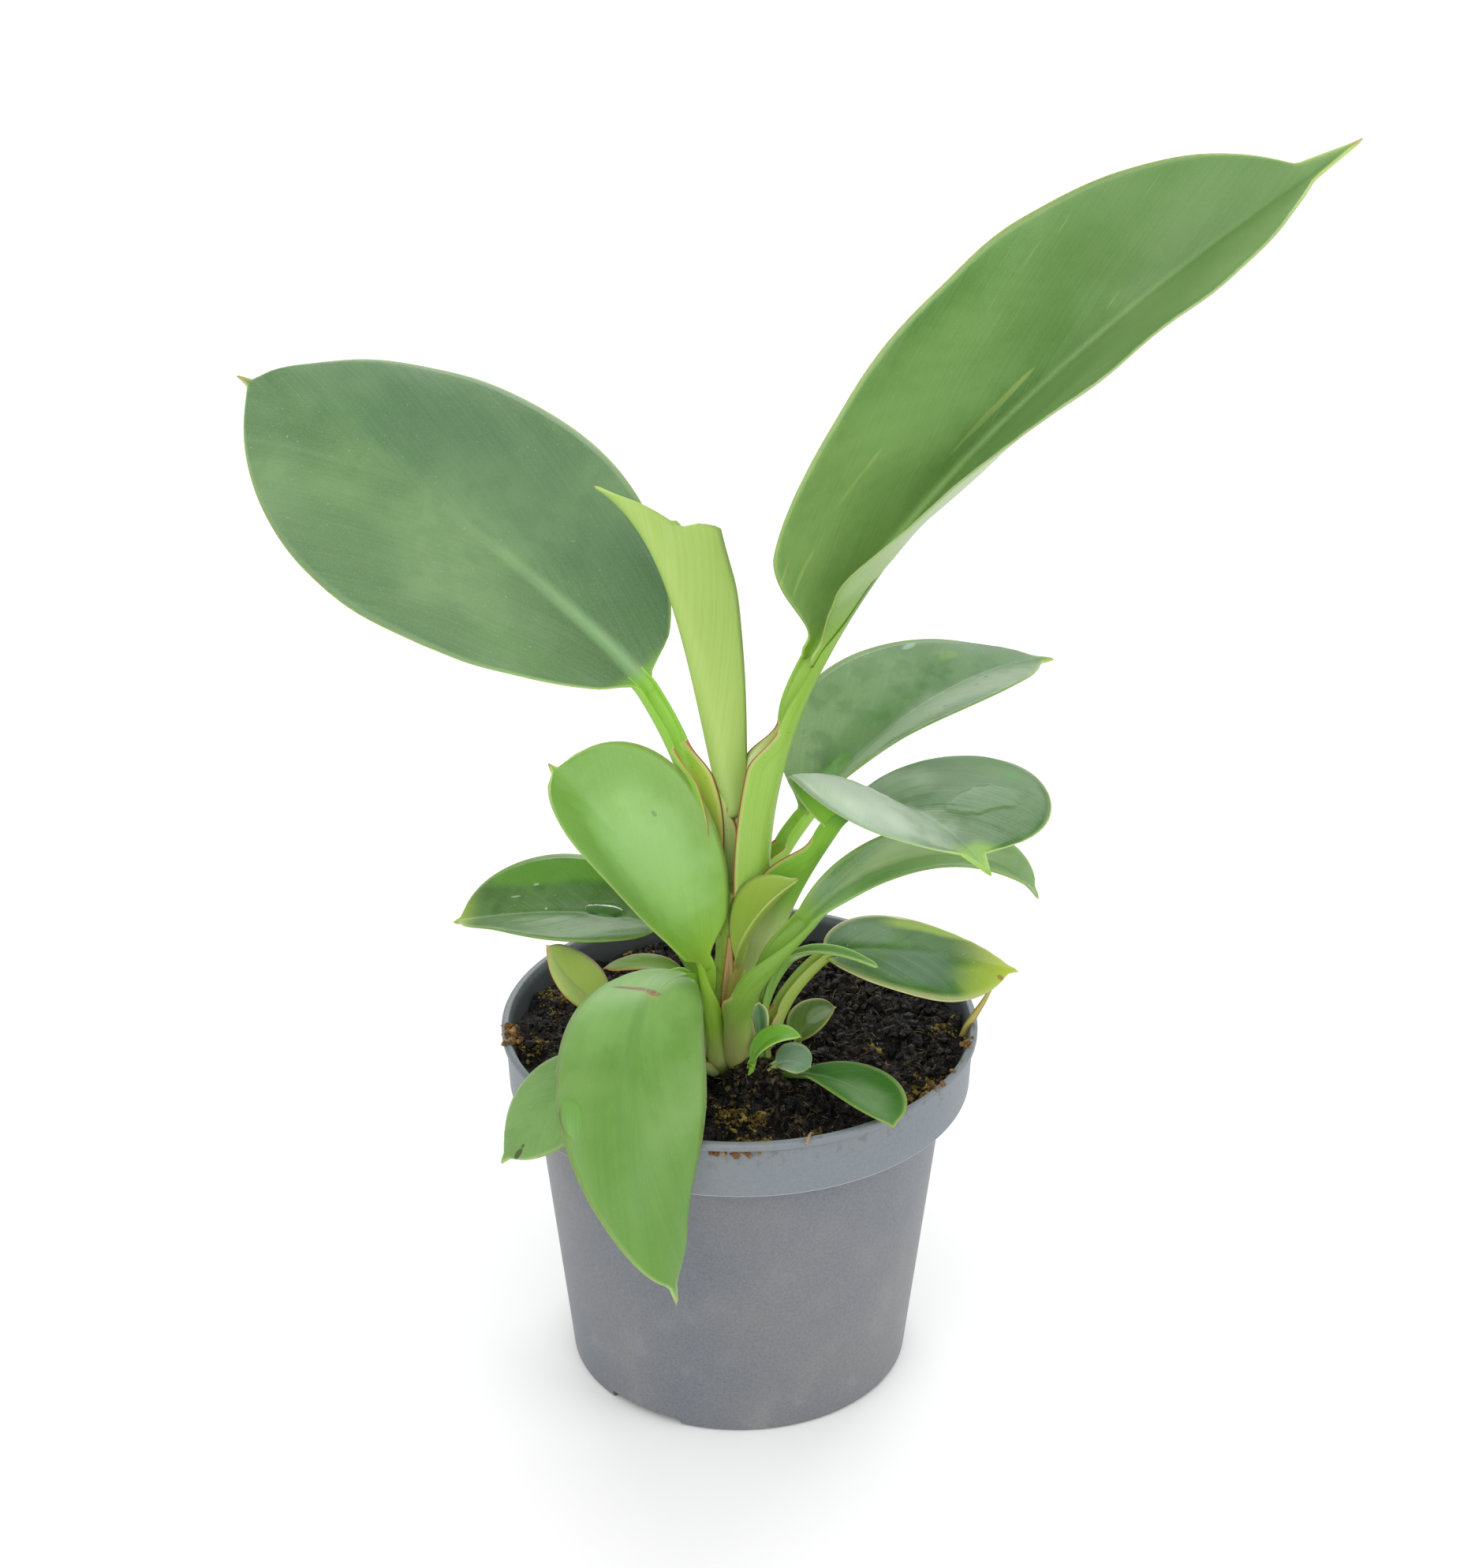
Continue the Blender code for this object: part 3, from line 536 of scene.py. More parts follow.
STEM_FOOT, STEM_TOP = (corner.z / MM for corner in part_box("stem"))
STEM_RADIUS = 5.6
STEM_TAPER = 1.0
STEM_SUNK = 1.5
STEM_ROWS = 60
RING_MARKS = 5
stem_profile = [(0.0, STEM_FOOT - STEM_SUNK)]
for row in range(STEM_ROWS + 1):
    share = row / STEM_ROWS
    ring_mark = max(0.0, math.cos(share * math.tau * RING_MARKS)) ** 12
    height = STEM_FOOT - STEM_SUNK + (STEM_TOP - STEM_FOOT + STEM_SUNK) * share
    stem_profile.append((STEM_RADIUS - STEM_TAPER * share + 0.3 * ring_mark, height))
stem_mesh = turned("stem_turned", [*stem_profile, (3.2, STEM_TOP), (0.0, STEM_TOP)], 40, stem_finish())
for vertex in stem_mesh.vertices:
    vertex.co.x += STEM_PLACE[0] * MM
    vertex.co.y += STEM_PLACE[1] * MM
stem_mesh.shade_smooth()
fit_piece("ringed_stem", stem_mesh, ["stem"])

# Every leaf is a fleshy stalk and a thin waxy blade on one centre line, grown by the rule
# that the CAD blades follow. A stalk starts as a sheath whose wings clasp what is inside
# it, and runs out as the rib under the blade.
BLADE_STEPS = 48
STALK_STEPS = 12
BLADE_THICK = 0.75
SMALL_BLADE_THICK = 0.5
WAVE_LENGTH = 21.0
VEIN_GAP = 7.0
VEIN_HEIGHT = 0.05


def blend(ends, share):
    return ends[0] + (ends[1] - ends[0]) * share


def smooth(share):
    share = min(1.0, max(0.0, share))
    return share * share * (3.0 - 2.0 * share)


def by_stem(out, turn, height):
    """A point at a distance from the stem's axis, a turn in radians and a height."""
    return Vector((STEM_PLACE[0] + out * math.cos(turn), STEM_PLACE[1] + out * math.sin(turn), height))


def blade_way(leaf, along):
    """The blade's rise and heading at a share of its length."""
    return blend(leaf["rise"][1:], along ** leaf["bend"]), blend(leaf["heading"][1:], along)


def centre_line(leaf):
    """The centre line's points: the stalk's from its foot on, then the blade's."""
    side, *out, height = leaf["foot"]
    stem_radius = STEM_RADIUS - STEM_TAPER * (height - STEM_FOOT) / (STEM_TOP - STEM_FOOT)
    out = out[0] if out else stem_radius + 0.3 + leaf["stalk"][1]
    points = [by_stem(out, math.radians(side), height)]
    for steps, length in ((STALK_STEPS, leaf["stalk"][0]), (BLADE_STEPS, leaf["blade"][0])):
        for step in range(steps):
            middle = (step + 0.5) / steps
            if steps == STALK_STEPS:
                way = blend(leaf["rise"], middle), blend(leaf["heading"], middle)
            else:
                way = blade_way(leaf, middle)
            rise, heading = (math.radians(angle) for angle in way)
            flat = math.cos(rise)
            way = Vector((flat * math.cos(heading), flat * math.sin(heading), math.sin(rise)))
            points.append(points[-1] + way * length / steps)
    return points


def on_line(points, step):
    """A point on a smooth curve through a line's points, or straight on below its start."""
    if step < 0.0:
        return points[0] + (points[1] - points[0]) * step
    first = min(int(step), len(points) - 2)
    t = step - first
    start, end = points[first], points[first + 1]
    before = points[first - 1] if first else start * 2 - end
    after = points[first + 2] if first < len(points) - 2 else end * 2 - start
    return 0.5 * (
        2 * start + (end - before) * t + (2 * before - 5 * start + 4 * end - after) * t * t
        + (3 * start - before - 3 * end + after) * t * t * t
    )


def side_and_face(rise, heading, roll):
    """Directions across a leaf and out of its upper face."""
    rise, heading, roll = (math.radians(angle) for angle in (rise, heading, roll))
    across = Vector((math.sin(heading), -math.cos(heading), 0.0))
    up = Vector((-math.cos(heading) * math.sin(rise), -math.sin(heading) * math.sin(rise), math.cos(rise)))
    return across * math.cos(roll) + up * math.sin(roll), up * math.cos(roll) - across * math.sin(roll)


def half_width(leaf, along, half):
    """The width of the left (0) or right (1) half, laid flat, at a share of the length."""
    tip_share, tip_half = leaf["tip"][:2]
    body_end = 1.0 - leaf["tip"][-1] if len(leaf["tip"]) == 3 else 1.0 - tip_share
    widest = leaf["widest"]
    body = 0.0
    if 0.0 < along < body_end:
        share = along / body_end
        before = (share / widest) ** (leaf["fullness"] * widest)
        after = ((1.0 - share) / (1.0 - widest)) ** (leaf["fullness"] * (1.0 - widest))
        body = 0.5 * leaf["blade"][1] * before * after * smooth(0.2 + 0.8 * along / leaf["taper"][half])
        body *= 1.0 + leaf["corner"][half] * math.exp(-abs(along - leaf["corner"][2]) / 0.05)
    base_half, base_end = leaf.get("base", (leaf["stalk"][2], 0.3))
    base = base_half * max(0.0, 1.0 - along / base_end)
    tip = tip_half * min(1.0, (1.0 - along) / tip_share) * smooth((along - 0.3) / 0.3)
    return max(0.25, (body ** 3 + base ** 3 + tip ** 3) ** (1.0 / 3.0))


def blade_roll(leaf, along):
    """The blade's turn about its midrib: eased at the base, where the stalk turns into it."""
    eased, end = leaf["ease"]
    return blend(leaf["roll"], along) + eased * (1.0 - smooth(along / end))


def blade_row(leaf, line, along, columns):
    """One row across the blade: points, with their distances from midrib and margin."""
    widths = [half_width(leaf, max(0.0, along), half) * (1.0 + min(0.0, along) * 8.0) for half in (0, 1)]
    length = leaf["blade"][0] / leaf["stalk"][0] * STALK_STEPS if along < 0.0 else BLADE_STEPS
    step = STALK_STEPS + along * length
    sink = leaf["stalk"][2] * smooth(-along * 30.0) * 0.5
    along = max(0.0, along)
    fold, curl = (math.radians(blend(leaf[key], along)) for key in ("fold", "curl"))
    side, face = side_and_face(*blade_way(leaf, along), blade_roll(leaf, along))
    middle = on_line(line, step) - face * sink
    row = [(middle, 0.0, sum(widths) / 2)]
    for sign, width in zip((-1.0, 1.0), widths):
        spot = middle.copy()
        for column in range(columns):
            inner, outer = ((end / columns) ** 1.5 for end in (column, column + 1))
            for step in range(2):
                share = inner + (outer - inner) * (step + 0.5) / 2
                groove = min(1.0, share * width / max(leaf["keel"] * abs(fold), 0.001))
                angle = fold * groove + curl * share
                stride = width * (outer - inner) / 2
                spot = spot + (side * sign * math.cos(angle) + face * math.sin(angle)) * stride
            item = (spot, sign * outer * width, width * (1.0 - outer))
            row = [item] + row if sign < 0 else row + [item]
    return row


def sheet_part(rows, columns, skins_at):
    """A closed thin sheet's corners and faces: two skins, which are one along the margin."""
    corners, faces, grid = [], [], []
    for i in range(rows + 1):
        grid.append([])
        for j in range(columns + 1):
            skins = skins_at(i, j, j in (0, columns) or i in (0, rows))
            grid[-1].append((len(corners), len(corners) + len(skins) - 1))
            corners += skins
    for lower, upper in zip(grid, grid[1:]):
        for j in range(columns):
            around = (lower[j], lower[j + 1], upper[j + 1], upper[j])
            faces += [[top for top, _ in around], [under for _, under in reversed(around)]]
    return corners, faces


def tube_part(rings):
    """A closed tube's corners and faces, from rings of corners with as many in each."""
    corners = [corner for ring in rings for corner in ring]
    size = len(rings[0])
    last = len(corners) - size
    faces = [
        [start + (j + 1) % size, start + j, start + size + j, start + size + (j + 1) % size]
        for start in range(0, last, size) for j in range(size)
    ]
    return corners, faces + [list(range(size)), list(range(len(corners) - 1, last - 1, -1))]


def blade_part(leaf, rows, columns, thick):
    """A closed blade: its middle sheet moved both ways, and joined along the margin."""
    line = centre_line(leaf)
    length = leaf["blade"][0]
    lead = 3
    sheet = [blade_row(leaf, line, (i - lead) / rows, columns) for i in range(rows + lead + 1)]
    seed = Vector((leaf["foot"][0], leaf["foot"][-1], 0.0))

    def skins_at(i, j, margin):
        along = max(0.0, (i - lead) / rows)
        point, across, edge = sheet[i][j]
        over = sheet[i][min(2 * columns, j + 1)][0] - sheet[i][max(0, j - 1)][0]
        ahead = sheet[min(rows + lead, i + 1)][j][0] - sheet[max(0, i - 1)][j][0]
        normal = over.cross(ahead).normalized()
        free = smooth(along * 5.0) * smooth(abs(across) / 6.0)
        ripple = noise.noise(seed + Vector((along * length, across * 1.3, 0.0)) / WAVE_LENGTH)
        wave = leaf["waves"] * free * ripple
        vein = (along * length - leaf["slope"] * abs(across)) * math.tau / VEIN_GAP
        veins = VEIN_HEIGHT * free * math.cos(vein)
        centre = point + normal * wave
        rib = math.exp(-(across / (0.8 + 1.2 * (1 - along))) ** 2) * (1.0 - along) * smooth(along * 14.0)
        upper = normal * (0.5 * thick + veins - 0.45 * leaf["groove"] * rib * min(1.0, thick))
        lower = normal * (-0.5 * thick - 0.5 * leaf["stalk"][2] * 0.4 * rib)
        skins = [(centre, 0.5)] if margin else [(centre + upper, 0.0), (centre + lower, 1.0)]
        return [(spot, (across, along * length), (edge, along), under) for spot, under in skins]

    return sheet_part(rows + lead, 2 * columns, skins_at)


def stalk_section(radius, hug, wing, dip, flare):
    """Half a stalk's outline, from under its back to the channel: (x, y, edge, inside)."""
    end = math.radians(hug)
    turns = [end * i / 10 for i in range(11)]
    outline = [(radius * math.sin(a), -radius * math.cos(a), wing + radius * (end - a), 0.0) for a in turns]
    leans = [end - math.radians(flare) * i / 5 for i in range(6)]
    shoulder = Vector(outline[-1][:2])
    skin = min(0.9, 0.32 * radius)
    for i in range(1, 6):
        shoulder = shoulder + Vector((math.cos(leans[i]), math.sin(leans[i]))) * wing / 5
        outline.append((*shoulder, wing * (1 - i / 5), 0.0))
    for i in range(4, -1, -1):
        x, y, edge, _ = outline[10 + i]
        thin = skin * (1.0 - 0.75 * i / 5)
        outline.append((x - math.sin(leans[i]) * thin, y + math.cos(leans[i]) * thin, edge, 1.0))
    x_end, y_end = outline[-1][:2]
    for i in range(1, 8):
        x = x_end * (1 - i / 7)
        bow = 1.0 - math.sqrt(max(0.0, 1.0 - (x / x_end) ** 2))
        outline.append((x, dip + (y_end - dip) * bow, wing + x_end * i / 7, 1.0))
    return outline


def stalk_part(leaf):
    """A closed stalk: sheath with wings, channelled stalk, and rib under the blade."""
    sheath_end, *wing_heights = leaf["sheath"]
    rib_end = leaf["rib_end"]
    line = centre_line(leaf)
    length, *radii = leaf["stalk"]
    stalk_rows = max(14, int(length * 0.9))
    rib_rows = max(8, int(rib_end * leaf["blade"][0] * 0.6))
    below = leaf["down"] / length
    places = [(-below * (1.0 - i / 6), 0.0) for i in range(6 if below else 0)]
    places += [(i / stalk_rows, 0.0) for i in range(stalk_rows + 1)]
    places += [(1.0, rib_end * i / rib_rows) for i in range(1, rib_rows + 1)]
    rings = []
    for up, along in places:
        if along:
            step = STALK_STEPS + along * BLADE_STEPS
            side, face = side_and_face(*blade_way(leaf, along), blade_roll(leaf, along))
        else:
            step = up * STALK_STEPS
            roll = blend((leaf["foot_roll"], blade_roll(leaf, 0.0)), smooth((up - 0.5) / 0.5))
            side, face = side_and_face(blend(leaf["rise"], up), blend(leaf["heading"], up), roll)
        swell = 1.0 + leaf["swell"] * math.exp(-max(0.0, up) / 0.25)
        radius = blend(radii, max(0.0, up)) * swell
        sunk = max(0.0, -up) / max(below, 0.01)
        radius *= 1.0 - 0.5 * sunk
        radius *= max(0.0, 1.0 - along / rib_end) ** 0.7 * 0.92 + 0.08
        top = smooth((up - sheath_end + 0.12) / 0.24)
        shoulder = leaf["shoulder"]
        stand = 1.0 - smooth((up / sheath_end - shoulder) / (1.02 - shoulder))
        stand *= 1.0 - smooth(along / 0.06)
        stand *= blend((leaf["foot_wing"], 1.0), smooth(up / 0.45))
        stand *= 1.0 - sunk
        crest = 0.35 * radius / radii[1] * (1.0 - along)
        wings = [max(0.12, height * stand + crest) for height in wing_heights]
        hug = blend((94.0, 122.0), top) if not along else blend((122.0, 84.0), smooth(along * 12.0))
        dip = blend((-0.55, 0.18), top) * radius
        dip = blend((dip, -0.06 * radius), smooth(up * 6.0 - 5.0))
        left, right = (stalk_section(radius, hug, wing, dip, leaf["flare"]) for wing in wings)
        outline = right + [(-x, y, edge, inside) for x, y, edge, inside in left[-2:0:-1]]
        centre = on_line(line, step)
        inward = Vector((STEM_PLACE[0] - centre.x, STEM_PLACE[1] - centre.y, 0.0))
        centre = centre + inward * 0.6 * sunk ** 1.5
        distance = up * length + along * leaf["blade"][0]
        past_sheath = 9.0 * smooth((up + 3.0 * along - sheath_end) / 0.08)
        rings.append([
            (centre + side * x + face * y, (math.copysign(edge, x), distance),
             (edge + past_sheath, up + along), 1.0 - inside)
            for x, y, edge, inside in outline
        ])
    return tube_part(rings)


def leaf_mesh(name, *parts):
    """One mesh of parts and their materials: distances as UV maps, and its underside marked."""
    mesh = bpy.data.meshes.new(name)
    corners, faces, slots = [], [], []
    for number, ((part_corners, part_faces), material) in enumerate(parts):
        faces += [[len(corners) + corner for corner in face] for face in part_faces]
        slots += [number] * len(part_faces)
        corners += part_corners
        mesh.materials.append(material)
    points, distances, edges, under = zip(*corners)
    mesh.from_pydata([point * MM for point in points], [], faces)
    mesh.polygons.foreach_set("material_index", slots)
    for key, values in (("leaf_mm", distances), ("leaf_edge", edges)):
        layer = mesh.uv_layers.new(name=key)
        for loop, item in zip(mesh.loops, layer.data):
            item.uv = values[loop.vertex_index]
    mesh.attributes.new("underside", "FLOAT", "POINT").data.foreach_set("value", under)
    mesh.shade_smooth()
    return mesh


def leaf_maps(tree):
    """Across and along in mm, distance from the margin, share of the length, underside."""
    maps = (add(tree, "UVMap", uv_map=name) for name in ("leaf_mm", "leaf_edge"))
    mm, edge = (add(tree, "SeparateXYZ", (uv_map,)) for uv_map in maps)
    under = add(tree, "Attribute", attribute_name="underside")
    return (*mm.outputs[:2], *edge.outputs[:2], under.outputs["Fac"])


def streaks(tree, across, along, wide, long):
    """Noise drawn out into streaks: width and length in the units given."""
    place = add(tree, "CombineXYZ", (times(tree, across, 1.0 / wide), times(tree, along, 1.0 / long)))
    return add(tree, "TexNoise", {"Vector": place, "Scale": 1.0, "Detail": 2.0})


def patch(tree, along, across, place, spot):
    """1 inside a ragged oval of the leaf's skin: its middle, half sizes and soft edge in mm."""
    ways = [
        add(tree, "Math", (way, 1.0 / half, -middle / half), operation="MULTIPLY_ADD")
        for way, middle, half in zip((along, across), spot, spot[2:])
    ]
    off = add(tree, "VectorMath", (add(tree, "CombineXYZ", ways),), operation="LENGTH").outputs["Value"]
    ragged = add(tree, "TexNoise", {"Vector": place, "Scale": 130.0})
    off = add(tree, "Math", (ragged, 0.9, off), operation="MULTIPLY_ADD")
    soft = spot[6] if len(spot) > 6 else 0.3
    return ramp(tree, off, 1.45 + soft / 2, 1.45 - soft / 2)


def blade_finish(name, look):
    """Waxy leaf skin: fine parallel veins, paler midrib and margin, matte pale underside."""
    material, tree, place = new_material(name, Specular_IOR_Level=look["shine"])
    across, along, edge, share, under = leaf_maps(tree)
    off_rib = add(tree, "Math", (across,), operation="ABSOLUTE")
    vein = add(tree, "Math", (off_rib, -look["slope"], along), operation="MULTIPLY_ADD")
    lengthen = math.hypot(1.0, look["slope"])
    fine = streaks(tree, vein, across, 0.8 * lengthen, 16.0)
    broad = streaks(tree, vein, across, 4.5 * lengthen, 40.0)
    # Grey-green patches: wax bloom, and a painted sheen where the skin shines.
    bloom = times(tree, speckle(tree, place, 38.0, 0.42, 0.6, 3.0), ramp(tree, share, 1.0, 0.8))
    fleck = ramp(tree, streaks(tree, vein, across, 0.9 * lengthen, 7.0), 0.77 - look["flecks"] * 0.1, 0.82)
    rib_half = add(tree, "MapRange", {"Value": share, "To Min": look["rib_half"], "To Max": 0.15})
    inside_rib = add(tree, "Math", (off_rib, rib_half), operation="DIVIDE")
    rib_faded = ramp(tree, share, look["rib_to"], 0.1, 0.0, look["rib_from"])
    rib = times(tree, ramp(tree, inside_rib, 1.6, 0.2), rib_faded)
    marks = ((patch(tree, along, across, place, spot), spot[5], spot[4]) for spot in look["marks"])
    colour = painted(
        tree, look["deep"], (speckle(tree, place, 30.0, 0.35, 0.65), 1.0, look["light"]),
        (ramp(tree, broad, 0.3, 0.7), 0.3, look["light"]),
        (ramp(tree, share, look["low_to"], 0.0, 0.0, 0.85), 1.0, look["low"]),
        (bloom, look["bloom"], "#9fb096"), (ramp(tree, fine, 0.3, 0.8), look["veined"], look["vein"]),
        (speckle(tree, place, 170.0, 0.45, 0.65, 4.0), look["dapple"], look["deep"]),
        (speckle(tree, place, 2300.0, 0.4, 0.7, 1.0), 0.16, look["vein"]),
        (fleck, min(1.0, look["flecks"]), "#bfcf7c"),
        (speckle(tree, place, 1500.0, 0.74, 0.78, 1.0), look["dust"] * 0.7, "#b9cbb2"),
        (rib, 1.0, look["rib"]), (ramp(tree, edge, look["rim"], 0.2, 0.0, 0.45), 1.0, look["margin"]),
        (ramp(tree, edge, 0.55, 0.25), 1.0, look["margin"]),
        (ramp(tree, share, look["fade"], 0.0), 1.0, look["petiole"]),
        (ramp(tree, share, look["tip_from"], 1.0), 1.0, look["tip_colour"]), *marks,
    )
    gloss = look["gloss"]
    rough = add(tree, "MapRange", {"Value": broad, "To Min": gloss - 0.06, "To Max": gloss + 0.1})
    height = add(tree, "Math", (fine, broad))
    for spot in look["wet"]:
        film = patch(tree, along, across, place, spot)
        colour = painted(tree, colour, (film, spot[5], spot[4]))
        rough = add(tree, "Mix", {0: film, 2: rough, 3: 0.2})
        height = add(tree, "Math", (film, 2.5, height), operation="MULTIPLY_ADD")
    back = painted(
        tree, look["under"], (ramp(tree, fine, 0.4, 0.7), 0.35, look["vein"]), (rib, 1.0, look["petiole"]),
        (ramp(tree, share, 0.28, 0.0), 1.0, look["petiole"]),
        (ramp(tree, edge, 0.6, 0.2), 1.0, look["margin"]),
    )
    colour = painted(tree, colour, (under, 1.0, back))
    return skinned(material, colour, (height, 0.35, 0.25), Roughness=rough)


def stalk_finish(name, look):
    """Stalk skin: juicy green drawn out lengthwise, sheath margins dried to red-brown."""
    material, tree, place = new_material(name, Roughness=0.4, IOR=1.45)
    across, along, edge, share, outside = leaf_maps(tree)
    grain = streaks(tree, across, along, 0.5, 22.0)
    outer = painted(
        tree, look["foot_colour"], (ramp(tree, share, 0.0, 0.45), 1.0, look["petiole"]),
        (ramp(tree, grain, 0.35, 0.7), 0.4, look["petiole_light"]),
    )
    sheath_end = look["sheath"][0]
    inner = painted(tree, outer, (ramp(tree, share, sheath_end, sheath_end * 0.7), 1.0, look["inner"]))
    dry = add(tree, "Math", (times(tree, grain, -0.3), edge))
    colour = painted(
        tree, inner, (outside, 1.0, outer), (ramp(tree, share, 1.0, 1.14), 1.0, look["under"]),
        (speckle(tree, place, 1300.0, 0.72, 0.76, 1.0), 0.4, "#6d6a30"),
        (ramp(tree, edge, 1.6, 0.4), 0.45, "#d0be86"), (ramp(tree, dry, 0.3, 0.05), 0.85, "#ab4f32"),
    )
    return skinned(material, colour, (grain, 0.3, 0.2))


# What every leaf has unless it says otherwise. The skin's and the flesh's colours are given
# in the order of their names.
SKIN = "deep light vein rib margin under".split()
FLESH = "petiole petiole_light inner foot_colour".split()
USUAL = dict(
    widest=0.5, fullness=1.2, tip=(0.05, 1.5), taper=(0.02, 0.02), corner=(0.0, 0.0, 0.5), keel=1.8,
    ease=(0.0, 0.1), waves=0.8, groove=1.0, rib_end=0.45, sheath=(0.3, 1.0, 1.0), foot_wing=1.0,
    foot_roll=0.0, down=0.0, flare=16.0, shoulder=0.72, swell=0.15, slope=1.6, rib_half=1.3,
    rib_from=0.75, rib_to=0.75, flecks=0.0, dust=0.35, bloom=0.0, gloss=0.4, shine=0.45, dapple=0.25,
    veined=0.3, fade=0.05, rim=1.5, low="#86ae5c", low_to=0.001, tip_from=0.97, tip_colour="#a98f55",
    wet=(), marks=(),
    skin="#4b7f3c #6b9b57 #86ae72 #8fb37a #9dbb6a #9db884", flesh="#8cbc3c #a9cf63 #b3cf4e #b4bf7e",
)


def full_leaf(**own):
    """A leaf's own values over the usual ones, with its lists of colours taken apart."""
    leaf = {}
    for given in (USUAL, own):
        for names, key in ((SKIN, "skin"), (FLESH, "flesh")):
            leaf.update(zip(names, given.get(key, "").split()))
        leaf.update(given)
    return leaf


def grow_leaf(name, **own):
    """Makes a large leaf as two pieces, a stalk and a blade, in the place of the CAD ones."""
    leaf = full_leaf(**own)
    rows = max(60, int(leaf["blade"][0] * 0.85) // 2 * 2)
    blade = blade_part(leaf, rows, max(14, int(leaf["blade"][1] * 0.36)), BLADE_THICK)
    slot = "young_leaf_green" if name == "new_leaf" else "leaf_green"
    for kind, node, part, finish, slot in (
        ("leaf_", "blade_", blade, blade_finish("waxy_blade_" + name, leaf), slot),
        ("petiole_", "stalk_", stalk_part(leaf), stalk_finish("fleshy_stalk_" + name, leaf), "stalk_green"),
    ):
        fit_piece(kind + name, leaf_mesh(kind + name, (part, finish)), [node + name])
    return leaf


# The first leaf is the tallest: it leans to the right, its halves folded up steeply from
# the midrib at the base, with a few pale scratches.
grow_leaf(
    "tall_right", foot=(342, 4.7, 140), stalk=(65, 3.4, 3.0), blade=(176, 81), down=22,
    heading=(24, -9, 26), rise=(89, 64, 25), bend=0.85, roll=(-63, -20), fold=(71, 20), curl=(27, 17),
    widest=0.37, fullness=1.05, tip=(0.19, 8.0, 0.09), keel=2.0, taper=(0.135, 0.2), ease=(10, 0.08),
    base=(4.8, 0.15), sheath=(0.66, 6.5, 4.6), foot_roll=20, slope=3.2, flecks=0.9, rib_half=1.1, waves=1.4,
    # The pale tint towards the base is painted light against the shade in the fold.
    rib_from=0.6, rib_to=0.5, low="#a5c872", low_to=0.45, veined=0.2,
    marks=((20, -20, 5, 0.7, "#c3cf7f", 0.8), (44, -21, 9, 0.5, "#b3c470", 0.6),
           (72, -4.5, 14, 0.7, "#b9c978", 0.5), (17, -27, 5, 0.6, "#c3cf7f", 0.7),
           # The grey-green mark on the right half is painted sheen, and the dark one near the top is painted
           # shade.
           (100, 12, 70, 12, "#86a468", 0.35, 0.9),
           (48, -18, 42, 16, "#92b870", 0.45, 1.0), (138, -16, 44, 18, "#56793c", 0.5, 0.9)),
    skin="#5c8640 #6f9454 #86a66a #9cc56c #a9bf6c #a3b787", flesh="#8cb444 #9dc060 #d3dfa4 #97bc50",
)

# The second leaf spreads to the left, nearly flat, with its upper face to the light. It is
# the oldest large blade: dark, bluish, and dusted with lime from watering.
grow_leaf(
    "broad_left", foot=(192, 5.4, 140), stalk=(53, 2.8, 2.8), blade=(128, 77), down=18,
    heading=(147, 146, 163), rise=(87, 49, 25), bend=0.2, roll=(21, 32), fold=(18, -5), curl=(5, -12),
    fullness=1.3, tip=(0.03, 1.4), keel=2.0, taper=(0.05, 0.05), sheath=(0.7, 3.4, 3.6), foot_wing=0.1,
    slope=3.0, rib_half=2.4, dust=0.5, waves=1.3, gloss=0.46,
    rib_from=0.7, rib_to=0.6, veined=0.16, bloom=0.05, low="#386224", low_to=0.35,
    # The faint pale second mark is painted sheen.
    marks=((62, 18, 70, 14, "#41654a", 0.35, 1.0), (70, -20, 60, 14, "#7c9c68", 0.1, 1.0)),
    skin="#4b6e40 #668853 #7f9f78 #8fb47c #a5c070 #8fae86", flesh="#86b93c #9ccb58 #a9bf4c #9fc04c",
)

# The newest leaf is still half rolled: it stands upright between the first two, folded
# shut along the midrib, smooth and light yellow-green, with a tan tip.
grow_leaf(
    "new_leaf", foot=(97, 4.2, 140.1), stalk=(20, 2.6, 2.8), blade=(93, 31), down=14,
    heading=(175, 180, 204), rise=(85, 79, 36), bend=3.9, roll=(-5, -15), fold=(90, 69), curl=(26, 12),
    widest=0.74, fullness=0.8, tip=(0.23, 9.5), keel=3.0, corner=(0.3, -0.3, 0.722), base=(9.5, 0.75),
    sheath=(1.0, 2.0, 2.0), rib_end=0.08, swell=0.1, flare=2.0, slope=3.0, rib_half=0.8, dust=0.1,
    waves=0.5, gloss=0.45, low="#b3ce7a", low_to=0.4, tip_from=0.985, tip_colour="#c59a62",
    marks=((36, -14.6, 8, 0.6, "#8a8a3c", 0.5), (4, -6, 14, 0.5, "#b0703c", 0.5, 0.8),
           (8, -4, 0.9, 0.5, "#4a4422", 0.9)),
    skin="#8fb04a #a3c060 #b0c978 #a3bf68 #a3c25e #a3bf62", flesh="#a9c46c #b5ca7c #a9bf6c #a9b878",
)

